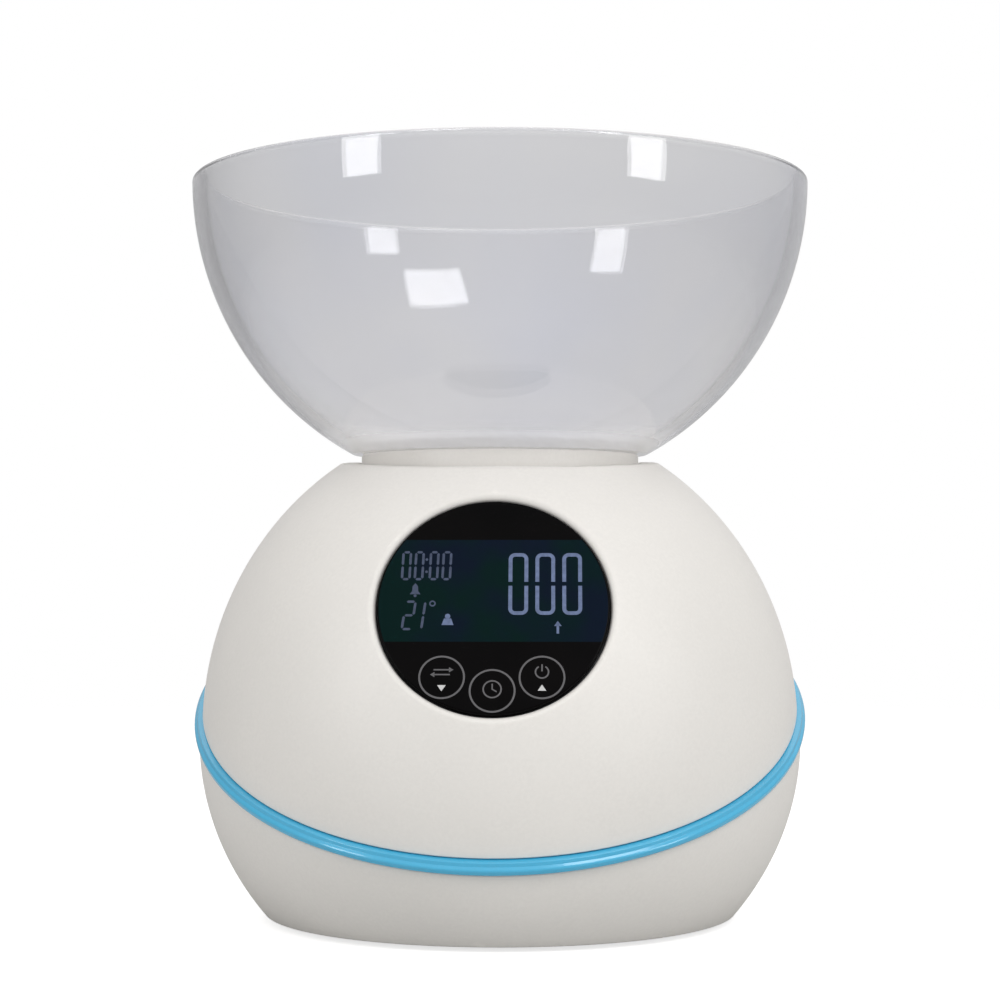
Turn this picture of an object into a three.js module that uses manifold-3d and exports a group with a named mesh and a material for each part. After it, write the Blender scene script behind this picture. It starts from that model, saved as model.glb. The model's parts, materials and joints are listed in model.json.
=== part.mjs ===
// Round kitchen scale: a dome-shaped casing with a tilted accent ring, a display window, and a clear bowl on a
// small weighing platform. Millimetres, +Z up. The origin is on the table under the middle of the scale, the
// front faces -Y, and the feet stand on z = 0.
import * as THREE from 'three';
import { mergeVertices } from 'three/addons/utils/BufferGeometryUtils.js';
import Module from 'manifold-3d';

const wasm = await Module();
wasm.setup();

// ---- Driving dimensions. Heights are above the lower edge of the casing, unless they say otherwise. ----

const ROUND = 48; // sides of the large round parts
const MIDDLE_ROUND = 40; // sides of the display and battery parts
const SMALL_ROUND = 16; // sides of the small round parts
const SEAT_GAP = 0.3; // between two pieces that touch
const HALVINGS = 40; // of a range, to find where a line meets a surface

const DOME_RADIUS = 97.2; // the dome is half an ellipse turned about +Z
const DOME_CENTRE_Z = 60;
const DOME_RISE = 102.5;
const TUB_STEP = 0.9; // the tub is wider than the dome by this much
const TUB_CENTRE_Z = 57;
const TUB_DROP = 91; // half-height of the ellipse below its centre; above it the tub follows the dome
const WALL = 2.5;

const RING_TILT = 25.5; // degrees, lower at the front
const RING_Z = 69.2;
const RING_HEIGHT = 4.4;
const RING_PROUD = 2.6;
const RING_DEPTH = 6;

const PLATFORM_RADIUS = 45.6;
const PLATFORM_GAP = 0.9; // round the platform, in the dome's opening
const PLATFORM_PROUD = 1.9; // above the dome's crown
const PLATFORM_PLATE = 2.5;
const PLATFORM_SKIRT = 10;
const PLATFORM_TRAVEL = 0.4; // how far the load cell bends at full load
const CROWN_BAND = 4.4; // flat band round the opening
const CROWN_TILT = 4.2; // degrees, lower at the front
const CROWN_DROP = 0.4; // of the tilted cut, at the middle of the dome
const COLLAR_DEPTH = 9;
const COLLAR_WALL = 2.2;

const BOWL_RADIUS = 101.2;
const BOWL_RISE = 102; // half-height of the ellipse that the bowl is part of
const BOWL_HEIGHT = 89.5;
const BOWL_WALL = 4.5;
const BOWL_FLOOR = 5;
const BOWL_LIP = 1.2; // radius of the rim's edges

const DISPLAY_RADIUS = 34.3;
const WINDOW_DROP = 15.2; // from the dome's crown down to the window's top edge
const DISPLAY_TILT = 25; // degrees, how far the window looks up
const DISPLAY_SINK = 0.4; // below the casing at the window's left and right
const DISPLAY_GAP = 0.4;
const LENS_THICKNESS = 2;
const LENS_SEAT = 1.5; // width of the ring that the lens rests on
const LENS_SHELF = 1.2; // thickness of that ring, over the panel
const HOUSING_MARGIN = 7; // from the window's edge to the inside of the tube that holds the display
const HOUSING_WALL = 4.2;
const LCD = { width: 60, height: 34, thickness: 2.8, up: 4.7, frame: 3 };
const LCD_CLEARANCE = 2; // between the panel's upper corners and the inside of the dome, square to the window
const BACKLIGHT = { width: 54, height: 23, thickness: 3 };
const ZEBRA_WIDTH = 2.2;
const KEYS = [ // touch keys, from the window's middle
  { name: 'left', right: -14.7, up: -22.8 },
  { name: 'middle', right: 0, up: -27.2 },
  { name: 'right', right: 14.4, up: -22.8 },
];
const KEY_CONTACT_RADIUS = 3;
const KEY_HOLE_GAP = 0.5; // round a key's contact
const BOARD_SPACE = 1.2; // between the backlight and the board's seat
const BOARD_THICKNESS = 1.6;
const BOARD_SCREWS = 3;
const BOARD_SCREW_RADIUS = 1;
const BOARD_SCREW_LENGTH = 5;

const FOOT_PROUD = 1.5;
const FOOT_RADIUS = 8;
const FOOT_RECESS = 1;
const FOOT_RING = 62; // radius of the circle that the feet stand on
const FOOT_ANGLE = 25; // degrees from the X axis

const POST_INSET = 10; // from the edge of the tub's flat bottom to the case screws
const POST_RADIUS = 5.5;
const SCREW_RADIUS = 1.4;
const SCREW_HEAD_RADIUS = 2.8;
const SCREW_HEAD = 2;
const SCREW_GRIP = 8; // length of a case screw on each side of the joint
const SCREW_SIDES = 12;
const HEAD_RECESS = 1.2; // of the load cell's screws, in the tub's bottom
const PAST = 1; // how far a hole's tool reaches past the face it goes through

const CELL = { length: 80, width: 12.7, height: 12.7, z: 16, hole: 4.4, holeX: 6.5, end: 24 };
const STOP_SINK = 0.2; // of the overload stop, below the tub's bottom face
const CELL_LIFT = 0.7; // free space between the load cell's free end and the arm
const CELL_SCREW_X = 6; // each side of the middle of the cell's end
const ARM_THICKNESS = 4;
const COLUMN_RADIUS = 10;
const COLUMN_WALL = 2.5;
const COLUMN_FLANGE = 26;
const FLANGE_THICKNESS = 3.5;
const COLUMN_FOOT = 3; // height and reach of the column's foot
const COLUMN_NECK = 10; // from the top of the flange down to the bottom of its cone
const PLATFORM_SCREWS = 3;
const PLATFORM_BOSS_RADIUS = 4;
const PLATFORM_SCREW_INSET = 6; // from the flange's edge

const BATTERY_Y = 42;
const COIN_RADIUS = 10;
const COIN_HEIGHT = 3.2;
const DOOR_MARGIN = 6.6; // from the coin cell's edge to the door's
const DOOR_THICKNESS = 2.4;
const DOOR_TAB = 1.4; // how far a tab stands out, and its thickness
const DOOR_TAB_WIDTH = 5.5;
const DOOR_NOTCH_WIDTH = 7;
const DOOR_RIM = 2.2;
const DOOR_SINK = 0.2; // below the tub's bottom face
const DOOR_GAP = 0.4;
const COIN_SLOT = { length: 15, width: 2, depth: 1 };
const DOOR_TURN = 30; // degrees from locked to open
const POCKET_GAP = 1.4; // round the coin cell
const CONTACT_TAIL = 2; // above the compartment's roof
const LEAD_RADIUS = 1.2;

// ---- Sizes worked out from those above ----

const DEGREE = Math.PI / 180;
const TUB_RADIUS = DOME_RADIUS + TUB_STEP;
const TUB_RISE = DOME_CENTRE_Z + DOME_RISE - TUB_CENTRE_Z;
const OPENING_RADIUS = PLATFORM_RADIUS + PLATFORM_GAP;
const CROWN_RADIUS = OPENING_RADIUS + CROWN_BAND;
const CROWN_Z = DOME_CENTRE_Z + DOME_RISE * Math.sqrt(1 - (CROWN_RADIUS / DOME_RADIUS) ** 2);
const PLATFORM_Z = CROWN_Z + PLATFORM_PROUD;
const BOWL_BOTTOM = PLATFORM_Z + SEAT_GAP;
const BOWL_RIM = BOWL_BOTTOM + BOWL_HEIGHT;
const FLOOR_RADIUS = TUB_RADIUS * Math.sqrt(1 - (TUB_CENTRE_Z / TUB_DROP) ** 2);
const POST_RING = FLOOR_RADIUS - POST_INSET;
const POST_ANGLES = [45, 135, 225, 315];
const domeRadiusAt = (z) => DOME_RADIUS * Math.sqrt(1 - ((z - DOME_CENTRE_Z) / DOME_RISE) ** 2);
const ringZAt = (y) => RING_Z + y * Math.tan(RING_TILT * DEGREE);
const DISPLAY_Z = CROWN_Z - WINDOW_DROP - DISPLAY_RADIUS * Math.cos(DISPLAY_TILT * DEGREE);
const DISPLAY_Y = DISPLAY_SINK - Math.sqrt(domeRadiusAt(DISPLAY_Z) ** 2 - DISPLAY_RADIUS ** 2);

// How far behind the window's plane the inside of the dome begins, at a place on the window.
function depthInside(right, up) {
  const [cos, sin] = [Math.cos(DISPLAY_TILT * DEGREE), Math.sin(DISPLAY_TILT * DEGREE)];
  let [outside, inside] = [-DISPLAY_RADIUS, DISPLAY_RADIUS];
  for (let i = 0; i < HALVINGS; i += 1) {
    const depth = (outside + inside) / 2;
    const y = DISPLAY_Y + up * sin + depth * cos;
    const z = DISPLAY_Z + up * cos - depth * sin;
    const risen = (z - DOME_CENTRE_Z) / (DOME_RISE - WALL);
    const reached = Math.hypot(right, y) / (DOME_RADIUS - WALL);
    if (risen ** 2 + reached ** 2 > 1) outside = depth;
    else inside = depth;
  }
  return inside;
}

// The panel lies behind both the lens's seat and the inside of the dome at its upper corners.
const LCD_DEPTH = Math.max(
  LENS_THICKNESS + SEAT_GAP + LENS_SHELF,
  depthInside(LCD.width / 2, LCD.up + LCD.height / 2) + LCD_CLEARANCE,
);
const HOUSING_DEPTH = LCD_DEPTH + LCD.thickness + BACKLIGHT.thickness + BOARD_SPACE;
const HOUSING_RADIUS = DISPLAY_RADIUS + HOUSING_MARGIN;
const BOARD_RADIUS = HOUSING_RADIUS + HOUSING_WALL;
const BOARD_TOP = -HOUSING_DEPTH - SEAT_GAP;
const LENS_BACK = -LENS_THICKNESS - SEAT_GAP;
const CELL_TOP = CELL.z + CELL.height;
const CELL_END_X = (CELL.length - CELL.end) / 2;
const ARM_Z = CELL_TOP + CELL_LIFT;
const SCREW_HOLE = SCREW_RADIUS + SEAT_GAP;
const HEAD_HOLE = SCREW_HEAD_RADIUS + SEAT_GAP;
const BOARD_SCREW_HOLE = BOARD_SCREW_RADIUS + SEAT_GAP;
const COLUMN_Z = ARM_Z + ARM_THICKNESS + SEAT_GAP;
const HUB_Z = PLATFORM_Z - PLATFORM_SKIRT;
const POCKET_RADIUS = COIN_RADIUS + POCKET_GAP;
const DOOR_RADIUS = COIN_RADIUS + DOOR_MARGIN;
const RECESS_RADIUS = DOOR_RADIUS + DOOR_GAP;
const DOOR_TAB_Z = DOOR_THICKNESS + SEAT_GAP;
const GROOVE_TOP = DOOR_TAB_Z + DOOR_TAB + DOOR_GAP;
const RECESS_DEPTH = GROOVE_TOP + 2 * SEAT_GAP;
const COIN_Z = RECESS_DEPTH + SEAT_GAP;
const POCKET_TOP = COIN_Z + COIN_HEIGHT + POCKET_GAP;
const CONTACT_TOP = POCKET_TOP + WALL + CONTACT_TAIL;

// ---- Solids ----

// The geometry as a manifold-3d solid, with shared vertices merged and its faces turned outwards.
function solid(geometry, matrix) {
  const plain = new THREE.BufferGeometry();
  const source = geometry.index ? geometry.toNonIndexed() : geometry;
  plain.setAttribute('position', source.getAttribute('position').clone());
  if (matrix) plain.applyMatrix4(matrix);
  const merged = mergeVertices(plain, 1e-4);
  const index = [];
  for (let i = 0; i < merged.index.count; i += 3) {
    const [a, b, c] = [merged.index.getX(i), merged.index.getX(i + 1), merged.index.getX(i + 2)];
    if (a !== b && b !== c && c !== a) index.push(a, b, c);
  }
  const build = (order) => new wasm.Manifold(new wasm.Mesh({
    numProp: 3,
    vertProperties: new Float32Array(merged.attributes.position.array),
    triVerts: new Uint32Array(order),
  }));
  const made = build(index);
  return made.volume() < 0 ? build(index.reverse()) : made;
}

function geometryOf(manifold) {
  const mesh = manifold.getMesh();
  const geometry = new THREE.BufferGeometry();
  const positions = new Float32Array(mesh.numVert * 3);
  for (let i = 0; i < mesh.numVert; i += 1) {
    for (let axis = 0; axis < 3; axis += 1) {
      positions[i * 3 + axis] = mesh.vertProperties[i * mesh.numProp + axis];
    }
  }
  geometry.setAttribute('position', new THREE.BufferAttribute(positions, 3));
  geometry.setIndex(Array.from(mesh.triVerts));
  geometry.computeVertexNormals();
  return geometry;
}

const at = (x, y, z) => new THREE.Matrix4().makeTranslation(x, y, z);

// A closed outline of [radius, height] points, turned about +Z.
function turned(points, sides = ROUND) {
  const outline = [...points, points[0]].map(([r, z]) => new THREE.Vector2(r, z));
  return new THREE.LatheGeometry(outline, sides).rotateX(Math.PI / 2);
}

// An upright cylinder from one height to another.
function rod(radius, bottom, top, sides = SMALL_ROUND) {
  return turned([[0, bottom], [radius, bottom], [radius, top], [0, top]], sides);
}

function tube(outer, inner, bottom, top, sides = SMALL_ROUND) {
  return turned([[inner, bottom], [outer, bottom], [outer, top], [inner, top]], sides);
}

function block(width, depth, bottom, top) {
  return new THREE.BoxGeometry(width, depth, top - bottom).translate(0, 0, (bottom + top) / 2);
}

// Points along an ellipse round +Z, between two heights.
function ellipsePoints(radius, rise, centre, fromZ, toZ, steps) {
  const angle = (z) => Math.asin(Math.min(1, Math.max(-1, (z - centre) / rise)));
  const [start, end] = [angle(fromZ), angle(toZ)];
  return Array.from({ length: steps + 1 }, (_, i) => {
    const a = start + (end - start) * (i / steps);
    return [radius * Math.cos(a), centre + rise * Math.sin(a)];
  });
}

// Everything below a plane that tilts about the X axis and crosses the middle of the scale at height z.
function belowPlane(z, tilt) {
  const span = 4 * (DOME_RADIUS + BOWL_RADIUS);
  const matrix = at(0, 0, z).multiply(new THREE.Matrix4().makeRotationX(tilt * DEGREE));
  return solid(block(span, span, -span, 0), matrix);
}

const displayFrame = at(0, DISPLAY_Y, DISPLAY_Z)
  .multiply(new THREE.Matrix4().makeRotationX((90 - DISPLAY_TILT) * DEGREE));

// A height on the casing's side of the ring, measured square to the ring's plane.
const ringEdge = (side) => RING_Z + (side * (RING_HEIGHT / 2 + SEAT_GAP)) / Math.cos(RING_TILT * DEGREE);

// The space inside the dome's surface moved inwards.
function domeInside(inset) {
  const [radius, rise] = [DOME_RADIUS - inset, DOME_RISE - inset];
  const points = ellipsePoints(radius, rise, DOME_CENTRE_Z, 0, DOME_CENTRE_Z + rise, 10);
  points[points.length - 1][0] = 0;
  return solid(turned([[0, 0], ...points]));
}

const postPlaces = POST_ANGLES.map((angle) => {
  const [x, y] = [POST_RING * Math.cos(angle * DEGREE), POST_RING * Math.sin(angle * DEGREE)];
  return { x, y, joint: ringZAt(y) };
});

const footPlaces = [['front_left', -1, -1], ['front_right', 1, -1], ['rear_left', -1, 1], ['rear_right', 1, 1]]
  .map(([name, sx, sy]) => ({
    name,
    x: sx * FOOT_RING * Math.cos(FOOT_ANGLE * DEGREE),
    y: sy * FOOT_RING * Math.sin(FOOT_ANGLE * DEGREE),
  }));

// Points round a circle, the first one towards +X turned by the start angle.
function circlePlaces(count, radius, start) {
  return Array.from({ length: count }, (_, i) => {
    const angle = (start + (360 * i) / count) * DEGREE;
    return [radius * Math.cos(angle), radius * Math.sin(angle)];
  });
}

// Battery contacts: distance from the compartment's middle, and the slot in its roof for the tail.
const contactPlaces = [
  { x: 0, slot: [4.6, 1.6] },
  { x: COIN_RADIUS + 0.8, slot: [1.2, 3.6] },
];

const boardScrewPlaces = circlePlaces(BOARD_SCREWS, HOUSING_RADIUS + HOUSING_WALL / 2, 90);
const platformScrewPlaces = circlePlaces(PLATFORM_SCREWS, COLUMN_FLANGE - PLATFORM_SCREW_INSET, 90);
const cellScrewXs = [-CELL_SCREW_X, CELL_SCREW_X];

// ---- Casing ----

// Dome: wall, collar round the opening, tube for the display and posts for the case screws.
function upperShell() {
  const blank = solid(turned([
    ...ellipsePoints(DOME_RADIUS, DOME_RISE, DOME_CENTRE_Z, 0, CROWN_Z, 12),
    [OPENING_RADIUS, CROWN_Z],
    [OPENING_RADIUS, 0],
  ]));
  const collarBottom = CROWN_Z - COLLAR_DEPTH;
  const collarSpace = solid(rod(OPENING_RADIUS + COLLAR_WALL, collarBottom, CROWN_Z + WALL, ROUND));
  const cavity = domeInside(WALL)
    .intersect(belowPlane(CROWN_Z - CROWN_DROP - WALL, CROWN_TILT))
    .intersect(belowPlane(CROWN_Z - WALL, 0));
  let shell = blank
    .intersect(belowPlane(CROWN_Z - CROWN_DROP, CROWN_TILT))
    .subtract(cavity.subtract(collarSpace))
    .subtract(solid(rod(CROWN_RADIUS, 0, collarBottom, ROUND)));
  const inWall = domeInside(WALL / 2)
    .intersect(belowPlane(CROWN_Z - CROWN_DROP - WALL / 2, CROWN_TILT))
    .intersect(belowPlane(CROWN_Z - WALL / 2, 0));
  for (const { x, y, joint } of postPlaces) {
    const post = solid(rod(POST_RADIUS, joint + SEAT_GAP / 2, CROWN_Z), at(x, y, 0));
    shell = shell.add(post.intersect(inWall));
  }
  const housing = solid(
    tube(HOUSING_RADIUS + HOUSING_WALL, HOUSING_RADIUS, -HOUSING_DEPTH, HOUSING_DEPTH, MIDDLE_ROUND),
    displayFrame,
  );
  shell = shell.add(housing.intersect(inWall));
  shell = shell.subtract(belowPlane(ringEdge(1), RING_TILT));
  const window = rod(DISPLAY_RADIUS + DISPLAY_GAP, -HOUSING_DEPTH, HOUSING_RADIUS, MIDDLE_ROUND);
  shell = shell.subtract(solid(window, displayFrame));
  for (const { x, y, joint } of postPlaces) {
    const pilot = rod(SCREW_HOLE, joint - PAST, joint + SCREW_GRIP + 2 * PAST);
    shell = shell.subtract(solid(pilot, at(x, y, 0)));
  }
  for (const [x, y] of boardScrewPlaces) {
    const pilot = rod(BOARD_SCREW_HOLE, -HOUSING_DEPTH - PAST, BOARD_SCREW_LENGTH - HOUSING_DEPTH);
    shell = shell.subtract(solid(pilot, displayFrame.clone().multiply(at(x, y, 0))));
  }
  return geometryOf(shell);
}

// The ring's cross-section follows the casing's surface round the tilted plane.
function accentRing() {
  const half = RING_HEIGHT / 2;
  const [edge, shoulder, bevel] = [RING_PROUD * 0.3, RING_PROUD * 0.8, half * 0.68];
  const section = [
    [-RING_DEPTH, -half],
    [edge, -half],
    [shoulder, -bevel],
    [RING_PROUD, 0],
    [shoulder, bevel],
    [edge, half],
    [-RING_DEPTH, half],
  ];
  const [cos, sin] = [Math.cos(RING_TILT * DEGREE), Math.sin(RING_TILT * DEGREE)];
  const place = (angle, reach, height) => {
    const [x, along] = [reach * Math.cos(angle), reach * Math.sin(angle)];
    return [x, along * cos - height * sin, RING_Z + along * sin + height * cos];
  };
  const surface = (angle) => {
    let [low, high] = [0, 2 * DOME_RADIUS];
    for (let i = 0; i < HALVINGS; i += 1) {
      const middle = (low + high) / 2;
      const [x, y, z] = place(angle, middle, 0);
      const inside = Math.abs(z - DOME_CENTRE_Z) < DOME_RISE && Math.hypot(x, y) < domeRadiusAt(z);
      if (inside) low = middle;
      else high = middle;
    }
    return low;
  };
  const positions = [];
  const index = [];
  for (let i = 0; i < ROUND; i += 1) {
    const angle = (2 * Math.PI * i) / ROUND;
    const reach = surface(angle);
    section.forEach(([out, height]) => positions.push(...place(angle, reach + out, height)));
    section.forEach((_, j) => {
      const [next, turn] = [(j + 1) % section.length, (i + 1) % ROUND];
      const [a, b] = [i * section.length + j, i * section.length + next];
      const [c, d] = [turn * section.length + j, turn * section.length + next];
      index.push(a, c, d, a, d, b);
    });
  }
  const geometry = new THREE.BufferGeometry();
  geometry.setAttribute('position', new THREE.Float32BufferAttribute(positions, 3));
  geometry.setIndex(index);
  return geometryOf(solid(geometry));
}

// Tub: wall and flat bottom, screw posts, battery compartment, foot recesses and load cell screw holes.
function lowerShell() {
  const top = RING_Z + DOME_RADIUS * Math.tan(RING_TILT * DEGREE);
  const side = (inset, below, above) => [
    ...ellipsePoints(TUB_RADIUS - inset, TUB_DROP - inset, TUB_CENTRE_Z, inset, TUB_CENTRE_Z, below),
    ...ellipsePoints(TUB_RADIUS - inset, TUB_RISE - inset, TUB_CENTRE_Z, TUB_CENTRE_Z, top, above).slice(1),
  ];
  let tub = solid(turned([[0, 0], ...side(0, 6, 6), ...side(WALL, 5, 5).reverse(), [0, WALL]]));
  for (const { x, y, joint } of postPlaces) {
    tub = tub.add(solid(rod(POST_RADIUS, WALL / 2, joint - SEAT_GAP / 2), at(x, y, 0)));
  }
  const well = at(0, BATTERY_Y, 0);
  tub = tub.add(solid(rod(RECESS_RADIUS + DOOR_TAB + WALL, WALL / 2, POCKET_TOP + WALL, MIDDLE_ROUND), well));
  tub = tub.intersect(belowPlane(ringEdge(-1), RING_TILT));
  for (const { x, y, joint } of postPlaces) {
    const seat = joint - SCREW_GRIP;
    tub = tub.subtract(solid(rod(HEAD_HOLE, -PAST, seat), at(x, y, 0)));
    tub = tub.subtract(solid(rod(SCREW_HOLE, seat - PAST, joint + PAST), at(x, y, 0)));
  }
  tub = tub.subtract(solid(rod(RECESS_RADIUS, -PAST, RECESS_DEPTH, MIDDLE_ROUND), well));
  tub = tub.subtract(solid(rod(RECESS_RADIUS + DOOR_TAB, DOOR_THICKNESS, GROOVE_TOP, MIDDLE_ROUND), well));
  tub = tub.subtract(solid(rod(POCKET_RADIUS, 0, POCKET_TOP, MIDDLE_ROUND), well));
  const notch = block(2 * (RECESS_RADIUS + DOOR_TAB), DOOR_NOTCH_WIDTH, -PAST, GROOVE_TOP - SEAT_GAP);
  const turn = new THREE.Matrix4().makeRotationZ(DOOR_TURN * DEGREE);
  tub = tub.subtract(solid(notch, well.clone().multiply(turn)));
  for (const { x, slot } of contactPlaces) {
    tub = tub.subtract(solid(block(...slot, COIN_Z, POCKET_TOP + WALL + PAST), at(x, BATTERY_Y, 0)));
  }
  for (const { x, y } of footPlaces) {
    tub = tub.subtract(solid(rod(FOOT_RADIUS + SEAT_GAP, -PAST, FOOT_RECESS), at(x, y, 0)));
  }
  for (const dx of cellScrewXs) {
    const place = at(dx - CELL_END_X, 0, 0);
    tub = tub.subtract(solid(rod(SCREW_HOLE, -PAST, WALL + PAST), place));
    tub = tub.subtract(solid(rod(HEAD_HOLE, -PAST, HEAD_RECESS), place));
  }
  tub = tub.subtract(solid(rod(SCREW_HOLE, -PAST, WALL + PAST), at(CELL_END_X, 0, 0)));
  return geometryOf(tub);
}

const screw = (length, radius = SCREW_RADIUS, head = SCREW_HEAD) => turned([
  [0, -head],
  [2 * radius, -head],
  [2 * radius, 0],
  [radius, 0],
  [radius, length - radius],
  [0, length],
], SCREW_SIDES);

// ---- Display, in the window's own frame: +Z out of the window, +Y up along it ----

function displayLens() {
  const edge = 0.4;
  return turned([
    [0, -LENS_THICKNESS],
    [DISPLAY_RADIUS, -LENS_THICKNESS],
    [DISPLAY_RADIUS, -edge],
    [DISPLAY_RADIUS - edge, 0],
    [0, 0],
  ], MIDDLE_ROUND);
}

// Carrier: a drum trimmed to the inside of the dome, with a pocket for the panel and a hole behind each key.
function displayCarrier() {
  const bottom = -HOUSING_DEPTH - PAST;
  const [width, height] = [LCD.width + 2 * SEAT_GAP, LCD.height + 2 * SEAT_GAP];
  let carrier = solid(rod(HOUSING_RADIUS - SEAT_GAP, -HOUSING_DEPTH, LENS_BACK, MIDDLE_ROUND));
  carrier = carrier.intersect(domeInside(WALL + SEAT_GAP).transform(displayFrame.clone().invert().elements));
  const pocket = block(width, height, bottom, SEAT_GAP - LCD_DEPTH);
  const sight = block(LCD.width - LCD.frame, LCD.height - 2 * LCD.frame, -LCD_DEPTH - PAST, PAST);
  const sightRound = solid(rod(DISPLAY_RADIUS - LENS_SEAT, -LCD_DEPTH - PAST, PAST, MIDDLE_ROUND));
  carrier = carrier.subtract(solid(pocket, at(0, LCD.up, 0)));
  carrier = carrier.subtract(solid(sight, at(0, LCD.up, 0)).intersect(sightRound));
  for (const { right, up } of KEYS) {
    carrier = carrier.subtract(solid(rod(KEY_CONTACT_RADIUS + KEY_HOLE_GAP, bottom, PAST), at(right, up, 0)));
  }
  return geometryOf(carrier);
}

function controlBoard() {
  let board = solid(rod(BOARD_RADIUS, BOARD_TOP - BOARD_THICKNESS, BOARD_TOP, MIDDLE_ROUND));
  board = board.intersect(domeInside(WALL + SEAT_GAP).transform(displayFrame.clone().invert().elements));
  for (const [x, y] of boardScrewPlaces) {
    const hole = rod(BOARD_SCREW_HOLE, BOARD_TOP - BOARD_THICKNESS - PAST, BOARD_TOP + PAST);
    board = board.subtract(solid(hole, at(x, y, 0)));
  }
  return geometryOf(board);
}

// ---- Weighing mechanism ----

// Aluminium bar with a two-hole flexure in the middle and screw holes in its ends.
function loadCell() {
  let bar = solid(new THREE.BoxGeometry(CELL.length, CELL.width, CELL.height));
  const across = new THREE.Matrix4().makeRotationX(Math.PI / 2);
  for (const x of [-CELL.holeX, CELL.holeX]) {
    bar = bar.subtract(solid(rod(CELL.hole, -CELL.width, CELL.width), at(x, 0, 0).multiply(across)));
  }
  bar = bar.subtract(solid(new THREE.BoxGeometry(2 * CELL.holeX, 2 * CELL.width, CELL.hole / 2)));
  for (const side of [-1, 1]) {
    for (const dx of cellScrewXs) {
      const hole = rod(SCREW_HOLE, -CELL.height, CELL.height);
      bar = bar.subtract(solid(hole, at(side * CELL_END_X + dx, 0, 0)));
    }
  }
  return geometryOf(bar).translate(0, 0, CELL.z + CELL.height / 2);
}

function cellMount() {
  let mount = solid(block(CELL.end, CELL.width + 9, WALL + SEAT_GAP, CELL.z - SEAT_GAP), at(-CELL_END_X, 0, 0));
  for (const dx of cellScrewXs) {
    mount = mount.subtract(solid(rod(SCREW_HOLE, 0, CELL.z), at(dx - CELL_END_X, 0, 0)));
  }
  return geometryOf(mount);
}

// Flat arm from the load cell's free end back to the middle of the scale.
function loadArm() {
  const length = CELL_END_X + CELL.end / 2 + COLUMN_FLANGE / 2 + 3;
  const raised = block(length, CELL.width + 6, ARM_Z + 1.2, ARM_Z + ARM_THICKNESS);
  const foot = block(CELL.end - 1, CELL.width, ARM_Z, ARM_Z + 2);
  const middle = CELL_END_X + CELL.end / 2 - length / 2;
  let arm = solid(raised, at(middle, 0, 0)).add(solid(foot, at(CELL_END_X, 0, 0)));
  for (const dx of cellScrewXs) {
    arm = arm.subtract(solid(rod(SCREW_HOLE, ARM_Z - PAST, COLUMN_Z), at(CELL_END_X + dx, 0, 0)));
  }
  return geometryOf(arm);
}

// Column: a tube with a foot on the arm and a flange under the platform.
function platformColumn() {
  const top = HUB_Z - SEAT_GAP;
  let column = solid(turned([
    [COLUMN_RADIUS - COLUMN_WALL, COLUMN_Z],
    [COLUMN_RADIUS + COLUMN_FOOT, COLUMN_Z],
    [COLUMN_RADIUS + COLUMN_FOOT, COLUMN_Z + COLUMN_FOOT],
    [COLUMN_RADIUS, COLUMN_Z + 2 * COLUMN_FOOT],
    [COLUMN_RADIUS, top - COLUMN_NECK],
    [COLUMN_FLANGE, top - FLANGE_THICKNESS],
    [COLUMN_FLANGE, top],
    [COLUMN_RADIUS - COLUMN_WALL, top],
  ], SMALL_ROUND * 2));
  for (const [x, y] of platformScrewPlaces) {
    column = column.subtract(solid(rod(SCREW_HOLE, top - 2 * FLANGE_THICKNESS, top + PAST), at(x, y, 0)));
    column = column.subtract(solid(rod(HEAD_HOLE, top - COLUMN_NECK, top - FLANGE_THICKNESS), at(x, y, 0)));
  }
  return geometryOf(column);
}

// Platform: a flat plate with a skirt, and three bosses that stand on the column's flange.
function platform() {
  const [edge, wall] = [0.8, 2];
  let plate = solid(turned([
    [0, PLATFORM_Z - PLATFORM_PLATE],
    [PLATFORM_RADIUS - wall, PLATFORM_Z - PLATFORM_PLATE],
    [PLATFORM_RADIUS - wall, PLATFORM_Z - PLATFORM_SKIRT],
    [PLATFORM_RADIUS, PLATFORM_Z - PLATFORM_SKIRT],
    [PLATFORM_RADIUS, PLATFORM_Z - edge],
    [PLATFORM_RADIUS - edge, PLATFORM_Z],
    [0, PLATFORM_Z],
  ]));
  for (const [x, y] of platformScrewPlaces) {
    plate = plate.add(solid(rod(PLATFORM_BOSS_RADIUS, HUB_Z, PLATFORM_Z - PAST), at(x, y, 0)));
    plate = plate.subtract(solid(rod(SCREW_HOLE, HUB_Z - PAST, PLATFORM_Z - 2 * PAST), at(x, y, 0)));
  }
  return geometryOf(plate);
}

// ---- Bowl ----

function bowl() {
  const outer = ellipsePoints(BOWL_RADIUS, BOWL_RISE, BOWL_RIM, BOWL_BOTTOM, BOWL_RIM - BOWL_LIP, 10);
  const [radius, rise] = [BOWL_RADIUS - BOWL_WALL, BOWL_RISE - BOWL_WALL];
  const floor = BOWL_BOTTOM + BOWL_FLOOR;
  const inner = ellipsePoints(radius, rise, BOWL_RIM, BOWL_RIM - BOWL_LIP, floor, 8);
  const bevel = BOWL_LIP * 0.3;
  return turned([
    [0, BOWL_BOTTOM],
    ...outer,
    [BOWL_RADIUS - bevel, BOWL_RIM - bevel],
    [BOWL_RADIUS - BOWL_LIP, BOWL_RIM],
    [radius + BOWL_LIP, BOWL_RIM],
    [radius + bevel, BOWL_RIM - bevel],
    ...inner,
    [0, floor],
  ]);
}

// ---- Power ----

// Negative contact: a strip above the coin cell, with a tail up through the compartment's roof.
function negativeContact() {
  const under = COIN_Z + COIN_HEIGHT + SEAT_GAP;
  const strip = solid(block(9, 3, under, under + 0.5));
  const tail = solid(block(4, 1, under, CONTACT_TOP));
  return geometryOf(strip.add(tail)).translate(0, BATTERY_Y, 0);
}

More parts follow.
